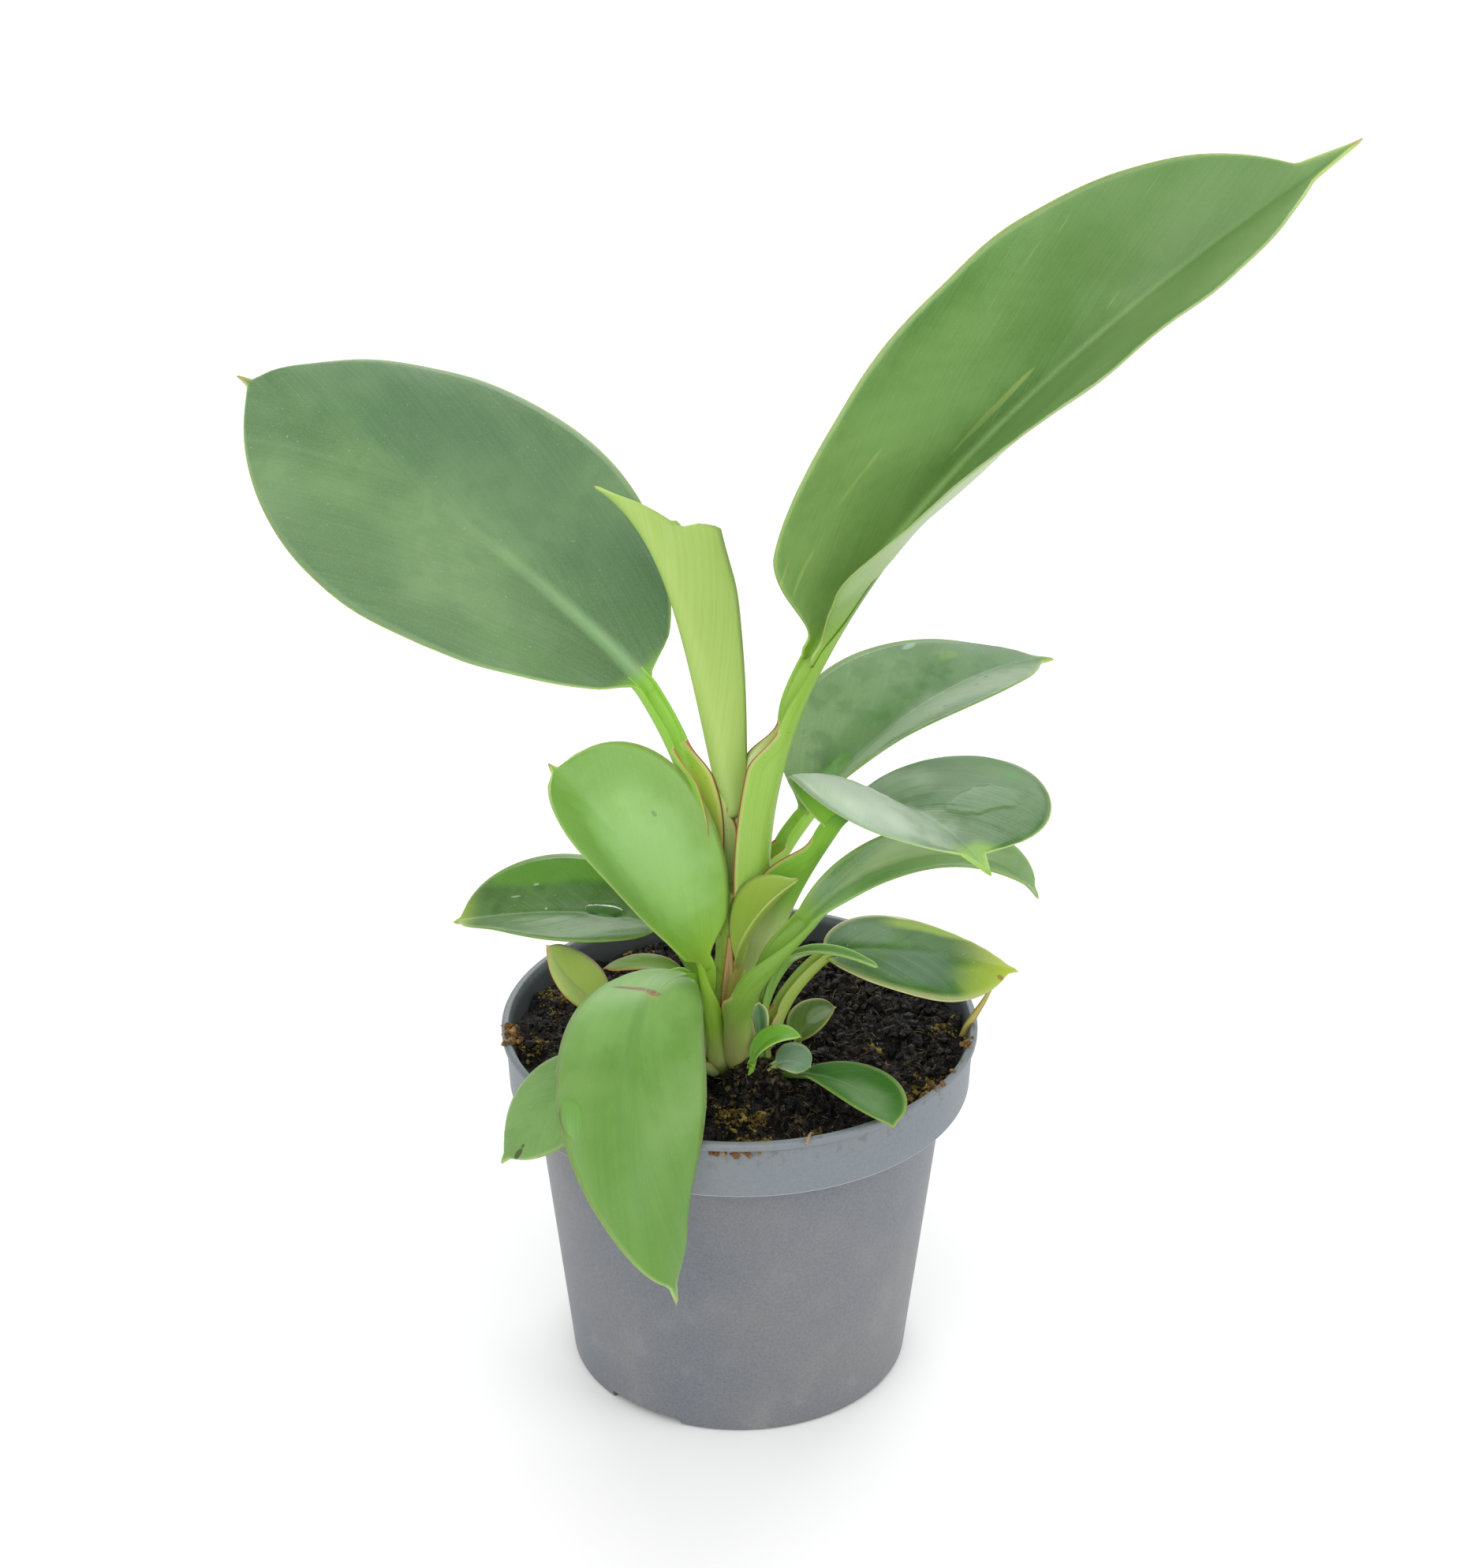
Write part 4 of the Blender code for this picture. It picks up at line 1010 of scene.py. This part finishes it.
# The bright young leaf in front is cupped, with its upper face to the camera. It is soft
# new tissue in yellow-green on a short stalk with a swollen foot beside the stem.
grow_leaf(
    "front_bright", foot=(239, 95), stalk=(27, 2.0, 2.2), blade=(66, 45), down=9,
    heading=(250, 182, 165), rise=(78, 84, 44), bend=0.35, roll=(46, 22), fold=(38, 21), curl=(19, 15),
    widest=0.65, tip=(0.04, 1.5), keel=14.0, groove=0.3, taper=(0.14, 0.14), swell=0.45,
    slope=2.0, rib_half=1.2, dust=0.15, gloss=0.36, rib_from=0.6, rib_to=0.35, veined=0.16,
    low="#8cbf24", low_to=0.55, fade=0.24,
    # The pale mint mark across the middle is painted sheen.
    marks=((39.5, 10.7, 0.8, 0.5, "#55602a", 0.9), (30, 2, 20, 11, "#a6d486", 0.45, 1.0)),
    skin="#6b9a3c #7ba350 #87ad5c #7fa83c #a3bd62 #86a850", flesh="#8db838 #9cc452 #b3cf4e #b0ba72",
)

# The dark leaf at the left lies almost level on a short upright stalk. Its skin is firm,
# waxy and dappled, and a bead of water has wetted the hollow beside its midrib.
LEFT_DARK = grow_leaf(
    "left_dark", foot=(142, 98.5), stalk=(29, 2.0, 2.0), blade=(54, 34), down=11,
    heading=(160, 163, 177), rise=(86, 39, -13), bend=0.2, roll=(25, 3), fold=(18, 22), curl=(-13, 9),
    widest=0.55, tip=(0.04, 1.5), keel=3.0,
    slope=1.4, rib_half=0.9, gloss=0.3, dapple=0.7, bloom=0.12, rib_from=0.3, rib_to=0.5,
    wet=((15.1, 0.7, 5.4, 2.9, "#3a6a24", 0.6),), tip_colour="#9ab04c", tip_from=0.85,
    marks=((28, 12, 20, 3.5, "#5d9424", 0.6, 0.8), (38, 5, 1.2, 0.25, "#b9cbb8", 0.4),
           (30, 1, 0.35, 0.35, "#c3d3c3", 0.5), (33, 8, 0.6, 0.3, "#c3d3c3", 0.4),
           (20, -6, 0.5, 0.5, "#8a5f38", 0.8)),
    skin="#3c6022 #50753a #66894e #6f9248 #8aa84c #8fb06c", flesh="#7da93c #98bf5a",
)

# The drooping leaf in front arches over the lip and hangs down the pot's side. It is long,
# thin and limp, with a brown crease where it bends over and faint grooves below.
grow_leaf(
    "front_droop", foot=(207, 97.5), stalk=(21, 2.2, 2.2), blade=(103, 37), down=10,
    heading=(196, 232, 321), rise=(87, 64, -78), bend=0.45, roll=(5, 11), fold=(-7, -2), curl=(-21, -12),
    fullness=1.25, slope=6.0, rib_half=0.9, dust=0.15, waves=1.4, rib_from=0.3, fade=0.08,
    wet=((56, 15.0, 4.5, 2.6, "#5f9a35", 0.35),),
    marks=((20, 4, 20, 14, "#9cc878", 0.3, 1.0), (22, -0.5, 1.6, 1.8, "#a08a4c", 0.4),
           (20.5, 4.2, 0.7, 6.0, "#75582c", 0.9), (21.2, -0.6, 0.8, 1.5, "#8a4f30", 0.7),
           (37, 0.4, 14, 1.6, "#4f8030", 0.4, 0.9), (67, 4, 18, 1.8, "#4f8030", 0.35, 0.9),
           (83, -10.4, 4, 1.2, "#558a30", 0.6)),
    skin="#54802a #70964a #64923a #5a8a34 #93b266 #8cab62",
)

# The leaf over the left rim sits low on a slanting stalk that starts at the soil. It is
# plain, waxy and pale at its margin, with a tip that has died off dark.
grow_leaf(
    "rim_left", foot=(227, 7.1, 90.5), stalk=(27, 1.8, 1.8), blade=(44, 29),
    heading=(218, 218, 209), rise=(39, 12, -51), bend=0.85, roll=(5, 2), fold=(8, -3), curl=(-9, -13),
    fullness=1.25, keel=1.5, rib_half=0.8, tip_colour="#3d3a22", tip_from=0.985,
    marks=((39.5, -2.9, 1.4, 0.7, "#33331c", 0.8), (37.4, -2.6, 0.5, 0.4, "#33331c", 0.7)),
    skin="#578238 #719a50 #7fa35f #86a862 #96b465", flesh="#9cc45e",
)

# The leaf at the back right leans away with its face to the sky. Its broad sheath wraps
# the stem, and the dull waxy skin is wet along the midrib and specked with grit.
grow_leaf(
    "back_right", foot=(59, 129), stalk=(26, 2.8, 2.5), blade=(85, 48), down=16,
    heading=(38, 31, 36), rise=(67, 44, -14), bend=1.15, roll=(6, -5), fold=(37, 7), curl=(2, -4),
    widest=0.4, fullness=1.55, keel=2.0, taper=(0.1, 0.1), sheath=(0.7, 4.5, 4.0), slope=1.3, rib_half=1.1,
    # The pale tint towards the base is painted light against the shade there.
    dust=0.4, gloss=0.34, bloom=0.15, low="#8aa873", low_to=0.5, rib_from=0.35, rib_to=0.35, shine=0.35,
    dapple=0.7, wet=((13.8, -2.0, 6, 2.2, "#5f9a30", 0.6, 0.4), (28, -4.0, 13, 3.6, "#5f8a48", 0.3, 0.4)),
    # The pale grey-green marks on both halves are painted sheen.
    marks=((32, -4, 24, 4.5, "#3d6a28", 0.2, 0.9), (36, 9, 38, 9, "#b1c0a6", 0.45, 1.0),
           (30, -15, 26, 9, "#a3bd90", 0.2, 1.0), (58, -9.5, 2.4, 1.4, "#84a83c", 0.3, 0.9),
           (51.5, -17.4, 1.8, 0.7, "#b5cbcf", 0.35, 0.6), (42, 13, 0.6, 0.4, "#33382a", 0.8),
           (37, 15, 0.5, 0.4, "#33382a", 0.8), (55, 6.5, 0.6, 0.5, "#6a5036", 0.8),
           (60, 3.5, 0.5, 0.4, "#33382a", 0.7)),
    skin="#446a38 #587d4a #4a7040 #83a66a #8fb045 #86a66c", tip_colour="#b59a5c",
)

# The glossy leaf at the right: its near half stands up from the midrib and rolls outward,
# so that it shows its underside below a shining crest, whose pale sheen is painted.
grow_leaf(
    "glossy_right", foot=(334, 127.5), stalk=(42, 3.0, 2.4), blade=(74, 63), down=16,
    heading=(-14, -57, -64), rise=(70, 53, -12), bend=0.7, roll=(4, 13), fold=(75, 2), curl=(-87, -2),
    widest=0.65, fullness=1.25, tip=(0.12, 3.6), keel=2.0, sheath=(0.85, 6.0, 6.4), shoulder=0.4, swell=0.3,
    slope=1.4, rib_half=1.2, gloss=0.3, dust=0.2, waves=0.6, bloom=0.15, shine=0.22, dapple=0.5,
    rib_from=0.2, rib_to=0.3, tip_colour="#79a83a", tip_from=0.9,
    wet=((48, -14, 5.0, 8.5, "#5f8458", 0.25),),
    # The three pale grey-green marks on the crest and the middle are painted sheen.
    marks=((32, 23, 42, 14, "#b3c4ae", 0.7, 1.0), (44, 7, 20, 9, "#a5b8a0", 0.6, 0.9),
           (67, -1, 5, 6, "#86b43a", 0.6, 0.8), (48, 29, 12, 6, "#b9cdb0", 0.4, 1.0),
           (32, -26, 16, 6, "#457530", 0.5, 0.9),
           (42.5, -25, 1.2, 1.6, "#2f7a1c", 0.8), (22, -6, 12, 6, "#8fa588", 0.4, 1.0)),
    skin="#365f26 #456c34 #31591f #8fae82 #a9c76f #4f8030", flesh="#79ad35 #8fbf52",
)

# The narrow strap leaf at the right curves up and over like a blade of grass, on a stalk
# that is hardly narrower than itself. Its skin is grey-green with a long soft gloss, partly a painted sheen.
grow_leaf(
    "strap_right", foot=(278, 96.5), stalk=(53, 3.0, 3.0), blade=(70, 15), down=10.5,
    heading=(-115, 13, 22), rise=(73, 49, -59), bend=1.05, roll=(-42, -29), fold=(42, 27), curl=(-4, 10),
    widest=0.55, fullness=0.85, sheath=(0.45, 2.8, 2.8), slope=4.0, rib_half=0.8, gloss=0.3, bloom=0.3,
    fade=0.12, swell=0.3, low="#3f7020", low_to=0.55, shine=0.25, flecks=0.5,
    # The long pale mark along the midrib is painted sheen.
    marks=((34, -1.0, 17, 4.5, "#a6bd84", 0.6, 0.9), (20, 4, 22, 2.6, "#7fae5c", 0.5, 0.8)),
    skin="#5c8048 #7a9a64 #8aa578 #6f9458 #86a456 #7d9c6c", flesh="#6f9634 #82a64a #b3cf4e #b0b06e",
)

# The low leaf at the right spreads out level just above the lip. It is the most worn one:
# dusty, dark at its base, and yellowing at its tip and along its dry margins.
grow_leaf(
    "low_right", foot=(354, 97.5), stalk=(26, 2.4, 2.0), blade=(51, 33), down=10,
    heading=(18, 14, 6), rise=(75, 36, -20), bend=0.2, roll=(-6, -16), fold=(6, -9), curl=(-7, -18),
    widest=0.45, keel=1.6, slope=1.3, rib_half=0.8, gloss=0.33, dust=0.7, bloom=0.05, veined=0.12, rim=2.8,
    shine=0.16, dapple=0.6, rib_from=0.4, rib_to=0.4, tip_from=0.62, tip_colour="#a5b43c",
    marks=((34, -12, 14, 3.5, "#9cb83c", 0.6, 0.8), (24, -15.5, 4, 1, "#cfc79a", 0.7, 0.5),
           (40, 7, 8, 5, "#98b048", 0.5, 0.8), (12, -6, 7, 5, "#6f8a6c", 0.35, 0.9),
           (24, 6, 11, 6, "#56705a", 0.6, 0.9),
           (36, -13.4, 1.2, 0.7, "#7a5f38", 0.8), (46, 3.5, 0.9, 0.7, "#7a5f38", 0.7)),
    skin="#265508 #3a6b18 #4c7c28 #5c883a #cdc98e", flesh="#9cae50",
)

# Small leaves, runts and sprouts around the stem's foot: thin soft green tissue, each a
# single piece from its foot to its tip. Some are starved yellow, and one is cobwebbed.
# The bract is the dried-edged scale leaf that wrapped the youngest side shoot.


def grow_small_leaf(name, piece_name, **own):
    """Makes a small leaf as one piece with two finishes, in the place of the CAD one."""
    leaf = full_leaf(**{"waves": 0.3, "rib_half": 0.5, "dust": 0.2, "rib_end": 0.4, "keel": 0.8, **own})
    blade = blade_part(leaf, max(24, int(leaf["blade"][0] * 1.1)), 9, SMALL_BLADE_THICK)
    parts = ((blade, blade_finish("waxy_small_blade_" + name, leaf)),
             (stalk_part(leaf), stalk_finish("small_stalk_" + name, leaf)))
    fit_piece(piece_name, leaf_mesh(piece_name, *parts), [name])


grow_small_leaf(
    "leaf_small_left", "runt_leaf_left", foot=(196, 6.4, 92.5), stalk=(30, 1.2, 1.5), blade=(23, 19),
    heading=(191, 180, 178), rise=(39, 25, 68), bend=0.85, roll=(15, 11), fold=(21, 8), curl=(-3, -8),
    widest=0.45, fullness=1.0, keel=1.2,
    skin="#a3bd50 #b3c866 #bccb76 #c0cd78 #b48f55 #adc06a", flesh="#98ab4e",
)
grow_small_leaf(
    "leaf_small_arch", "runt_leaf_arched", foot=(177, 94.5), stalk=(18, 1.0, 1.0), blade=(23, 10), down=7,
    heading=(181, 180, 179), rise=(87, 59, -23), bend=0.75, roll=(-2, -5), fold=(22, -1), curl=(1, -8),
    fullness=0.9, tip=(0.05, 0.6), keel=1.0, skin="#5f8a2c #7c9c3c #8fab55 #93ad58 #a5743f", flesh="#86a045",
)
grow_small_leaf(
    "leaf_small_right", "narrow_leaf_right", foot=(321, 100.5), stalk=(22, 1.6, 1.6), blade=(24, 5), down=13,
    heading=(64, -18, -10), rise=(82, 55, -25), bend=0.5, roll=(-3, 2), fold=(35, 16), curl=(-5, -6),
    widest=0.45, fullness=1.15, tip=(0.05, 1.4), keel=1.0,
    skin="#4c7c30 #638f44 #779c58 #83a65f #93b258", flesh="#6a9440",
)
grow_small_leaf(
    "leaf_front_right", "low_leaf_front", foot=(308, 6.6, 89.3), stalk=(14, 1.4, 1.4), blade=(44, 18),
    heading=(-18, -38, -80), rise=(18, 16, 2), bend=0.95, roll=(6, 0), fold=(22, 6), curl=(0, 0),
    tip=(0.05, 1.4), keel=1.2, slope=1.8, rib_half=0.7, gloss=0.46, shine=0.1,
    # The pale mark along the middle is painted sheen.
    marks=((27, 1, 12, 4.5, "#86a376", 0.4, 1.0),),
    skin="#245606 #336a10 #427824 #5a8a40 #86a04a #8fb06c", flesh="#7da04a",
)
grow_small_leaf(
    "bract", "scale_leaf", foot=(254, 107.5), stalk=(16, 1.2, 1.4), blade=(32, 20),
    heading=(-66, -44, -6), rise=(73, 75, 45), bend=0.95, roll=(-54, -10), fold=(23, 34), curl=(4, 13),
    fullness=1.55, keel=1.2, slope=2.5, rib_half=0.9, tip_from=0.96, tip_colour="#a5622f", veined=0.2,
    skin="#8ca83a #9cb44c #a2ae58 #a08c4c #a9bc68 #94ac48", flesh="#8f8c42 #a09a50 #b3cf4e #987f42",
)
grow_small_leaf(
    "sprout_bright", "bright_sprout", foot=(281, 16.9, 91.6), stalk=(7.6, 1.0, 1.0), blade=(16, 8),
    heading=(18, 12, 4), rise=(88, 78, -28), bend=1.1, roll=(-11, -4), fold=(22, 10), curl=(1, 0),
    widest=0.55, fullness=1.15, tip=(0.05, 0.6),
    skin="#568f1f #6ba332 #78ab42 #83b34e #93bd52", flesh="#7cab38",
)
grow_small_leaf(
    "sprout_dark", "dull_sprout", foot=(290, 17.9, 92.2), stalk=(8, 1.0, 1.0), blade=(9, 12),
    heading=(7, 2, -22), rise=(88, 30, -26), bend=0.9, roll=(-7, -10), fold=(23, 5), curl=(2, -4),
    fullness=1.0, tip=(0.05, 0.6), skin="#4c6b4f #6c896a #7f9a7a #8aa37f #8fa372", flesh="#8a9a50",
)
grow_small_leaf(
    "sprout_netted", "netted_sprout", foot=(338, 13.6, 89.0), stalk=(9, 1.0, 1.0), blade=(14, 12),
    heading=(42, 68, 8), rise=(66, 40, 8), bend=0.95, roll=(-2, -2), fold=(18, 13), curl=(-1, 2),
    widest=0.55, fullness=1.1, tip=(0.05, 0.6), marks=((9, 1, 4, 3, "#93a583", 0.4),), shine=0.2, gloss=0.5,
    skin="#39561a #4c6a26 #6c8248 #6a8040 #9a9a4c", flesh="#66702f",
)
grow_small_leaf(
    "sprout_upright", "upright_sprout", foot=(297, 14.4, 91.6), stalk=(9, 1.0, 1.0), blade=(11, 5),
    heading=(79, 103, 93), rise=(76, 58, 69), bend=1.0, roll=(4, 4), fold=(18, 9), curl=(-1, -1),
    widest=0.65, tip=(0.05, 0.6), skin="#33602f #4a7842 #5f8a55 #6f955c #b8bf83", flesh="#5f8a3c",
)

# Below the living stalks the feet of older leaves still wrap the stem: one fleshy sheath
# at the right, and one in front that has dried to brown paper.


def wrap_stem(name, height, radius, left, right, thick, flesh):
    """Adds an old sheath: a closed wrap from one angle to another, thin along its margins."""
    rows, columns = 30, 22

    def skins_at(i, j, margin):
        share = i / rows
        around = blend(radius, smooth(share))
        start, end = (math.radians(blend(side, share ** 1.6)) for side in (left, right))
        turn = start + (end - start) * j / columns
        edge = around * min(turn - start, end - turn)
        ripple = 0.25 * noise.noise(Vector((turn * 3.0, share * 3.0, left[0])))
        skin = thick * smooth(0.15 + edge / 2.0) * smooth((1.02 - share) * 8.0)
        distances = (around * turn, share * (height[1] - height[0]))
        edge = min(edge, (1.0 - share) * 12.0)
        return [
            (by_stem(around + ripple - inner * skin, turn, blend(height, share)), distances,
             (edge, share), 1.0 - inner)
            for inner in ((0.0,) if margin else (0.0, 1.0))
        ]

    finish = stalk_finish("old_sheath_skin_" + name, full_leaf(sheath=(1.0, 0, 0), flesh=flesh))
    fit_piece(name, leaf_mesh(name, (sheet_part(rows, columns, skins_at), finish)))


wrap_stem("sheath_foot_right", height=(86, 114), radius=(9.2, 6.6), left=(264, 266), right=(382, 330),
          thick=1.3, flesh="#96ad48 #a6bb5f #96ad48 #a9ae6a")
wrap_stem("sheath_papery", height=(103, 129), radius=(7.2, 6.3), left=(236, 252), right=(270, 262),
          thick=0.4, flesh="#9c7f48 #b3965a #8a6c3c #a5934f")

# A dried shred of leaf hangs from the low right leaf to the inside of the lip, and a tan
# sliver of coir sticks out of the soil over the lip at the front: both thin and matte.


def lay_shred(name, halves, path, flesh):
    """Adds a narrow ribbon along a path, flat ended, with its two half widths."""
    path = [Vector(point) for point in path]
    rows = 4 * (len(path) - 1)
    rings = []
    for i in range(rows + 1):
        step = i / 4
        here, before, after = (
            on_line(path, min(max(place, 0.0), len(path) - 1)) for place in (step, step - 0.1, step + 0.1)
        )
        side = (after - before).normalized().cross(Vector((0.35, -0.9, 0.2))).normalized()
        face = side.cross((after - before).normalized())
        half = blend(halves, i / rows)
        rings.append([
            (here + side * x * half + face * (y * 0.5 + 0.25 * half * abs(x)), (x * half, step * 2.0),
             (9.0, i / rows), 1.0)
            for x, y in ((-1.0, 0.12), (0.0, -0.5), (1.0, 0.12), (0.0, 0.5))
        ])
    corners, faces = tube_part(rings)
    faces = [face[1:] + face[:1] for face in faces]  # so that each is split the other way
    look = full_leaf(sheath=(1.0, 0, 0), flesh=flesh, under=flesh.split()[0])
    ribbon = (corners, faces), stalk_finish("dried_shred_" + name, look)
    fit_piece(name, leaf_mesh(name, ribbon))


lay_shred(
    "dried_shred_right", (0.5, 1.5),
    [(63.5, 3.6, 103.0), (61.5, 1.0, 100.6), (59.3, -1.2, 98.2), (57.3, -2.8, 95.4), (56.3, -3.2, 92.5)],
    "#a39548 #bdb066 #a39548 #9fa045",
)
lay_shred(
    "coir_sliver_front", (0.8, 0.5),
    [(17.4, -51.0, 91.0), (17.2, -53.4, 94.6), (16.9, -55.8, 96.6), (16.4, -58.0, 97.0), (15.8, -60.0, 96.2)],
    "#8f7a55 #a89066 #8f7a55 #6f5f42",
)

# A bead of water lies in the hollow of the dark left leaf: a flat drop with a rounded rim,
# held by the wax of the skin.
BEAD_ALONG = 0.28
BEAD_ACROSS = 0.7
BEAD_LONG, BEAD_WIDE, BEAD_TALL = 4.6, 2.5, 0.6


def bead_mesh():
    """A lens on the blade's skin, with its contact face a little sunk into it."""
    line = centre_line(LEFT_DARK)
    row, ahead = (blade_row(LEFT_DARK, line, along, 14) for along in (BEAD_ALONG, BEAD_ALONG + 0.01))
    down = (ahead[14][0] - row[14][0]).normalized()
    over = (row[16][0] - row[12][0]).normalized()
    up = over.cross(down).normalized()
    middle = row[14][0] + over * BEAD_ACROSS + up * 0.45
    shape = bmesh.new()
    bmesh.ops.create_uvsphere(shape, u_segments=40, v_segments=20, radius=1.0)
    for vertex in shape.verts:
        x, y, z = vertex.co
        crown = z * BEAD_TALL if z > 0 else z * 0.35
        bent = 1.0 + 0.10 * math.sin(2.0 * math.atan2(y, x) + 0.6) + 0.05 * math.sin(3.0 * math.atan2(y, x))
        vertex.co = (middle + down * x * BEAD_LONG * bent + over * y * BEAD_WIDE * bent + up * crown) * MM
    mesh = bpy.data.meshes.new("water_bead")
    bmesh.ops.recalc_face_normals(shape, faces=shape.faces)
    shape.to_mesh(mesh)
    shape.free()
    mesh.materials.append(water_finish())
    mesh.shade_smooth()
    return mesh


def water_finish():
    """Clean water: clear, with a sharp reflection. A low IOR keeps the leaf's green under it."""
    material, tree, place = new_material("clear_water", Roughness=0.03, IOR=1.19, Transmission_Weight=1.0)
    colour = painted(tree, "#dfeadb", (speckle(tree, place, 300.0, 0.3, 0.7), 1.0, "#f2f7ef"))
    return skinned(material, colour)


fit_piece("water_bead", bead_mesh())

# The studio: a pale seamless floor, a soft sky of light all round, four large soft boxes
# and the camera where the photographer stood.
FLOOR_REACH = 6.0
CAMERA_PLACE = (0.0, -0.7779, 0.5487)
CAMERA_PITCH = 26.44
CAMERA_YAW = -0.177
CAMERA_LENS = 81.72
SOFT_BOX_AIM = Vector((0.0, 0.0, 0.15))

scene = bpy.context.scene
floor_mesh = bpy.data.meshes.new("studio_floor")
floor_corners = [(x * FLOOR_REACH, y * FLOOR_REACH, 0) for x, y in ((-1, -1), (1, -1), (1, 1), (-1, 1))]
floor_mesh.from_pydata(floor_corners, [], [(0, 1, 2, 3)])
floor_mesh.materials.append(new_material("pale_studio_floor", Base_Color="#f4f4f4", Roughness=0.9)[0])
floor = bpy.data.objects.new("studio_floor", floor_mesh)
scene.collection.objects.link(floor)
floor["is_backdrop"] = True

for name, place, size, power in (
    ("soft_box_left", (-0.9, -1.2, 1.7), (1.4, 1.4), 12.0),
    ("soft_box_front", (0.4, -2.3, 1.3), (2.0, 1.6), 16.0),
    ("soft_box_behind", (0.2, 1.5, 1.3), (2.0, 1.0), 17.0),
    ("soft_box_right", (1.4, -0.6, 1.0), (1.0, 1.0), 7.0),
):
    light = bpy.data.lights.new(name, "AREA")
    light.shape = "RECTANGLE"
    light.size, light.size_y = size
    light.energy = power
    box = bpy.data.objects.new(name, light)
    box.location = place
    box.rotation_euler = (SOFT_BOX_AIM - Vector(place)).to_track_quat("-Z", "Y").to_euler()
    scene.collection.objects.link(box)

world = bpy.data.worlds.new("studio_sky")
world.use_nodes = True
world.node_tree.nodes["Background"].inputs["Color"].default_value = (1.0, 1.0, 1.0, 1.0)
world.node_tree.nodes["Background"].inputs["Strength"].default_value = 0.8
scene.world = world
scene.view_settings.view_transform = "Standard"

camera = bpy.data.objects.new("camera", bpy.data.cameras.new("camera"))
camera.data.lens = CAMERA_LENS
camera.data.sensor_width = 36.0
camera.data.clip_start = 0.01
camera.location = CAMERA_PLACE
camera.rotation_euler = (math.radians(90.0 - CAMERA_PITCH), 0.0, math.radians(-CAMERA_YAW))
scene.collection.objects.link(camera)
bpy.context.scene.camera = camera

visual_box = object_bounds()
sizes = {"cad": [list(corner) for corner in cad_box], "visual": [list(corner) for corner in visual_box]}
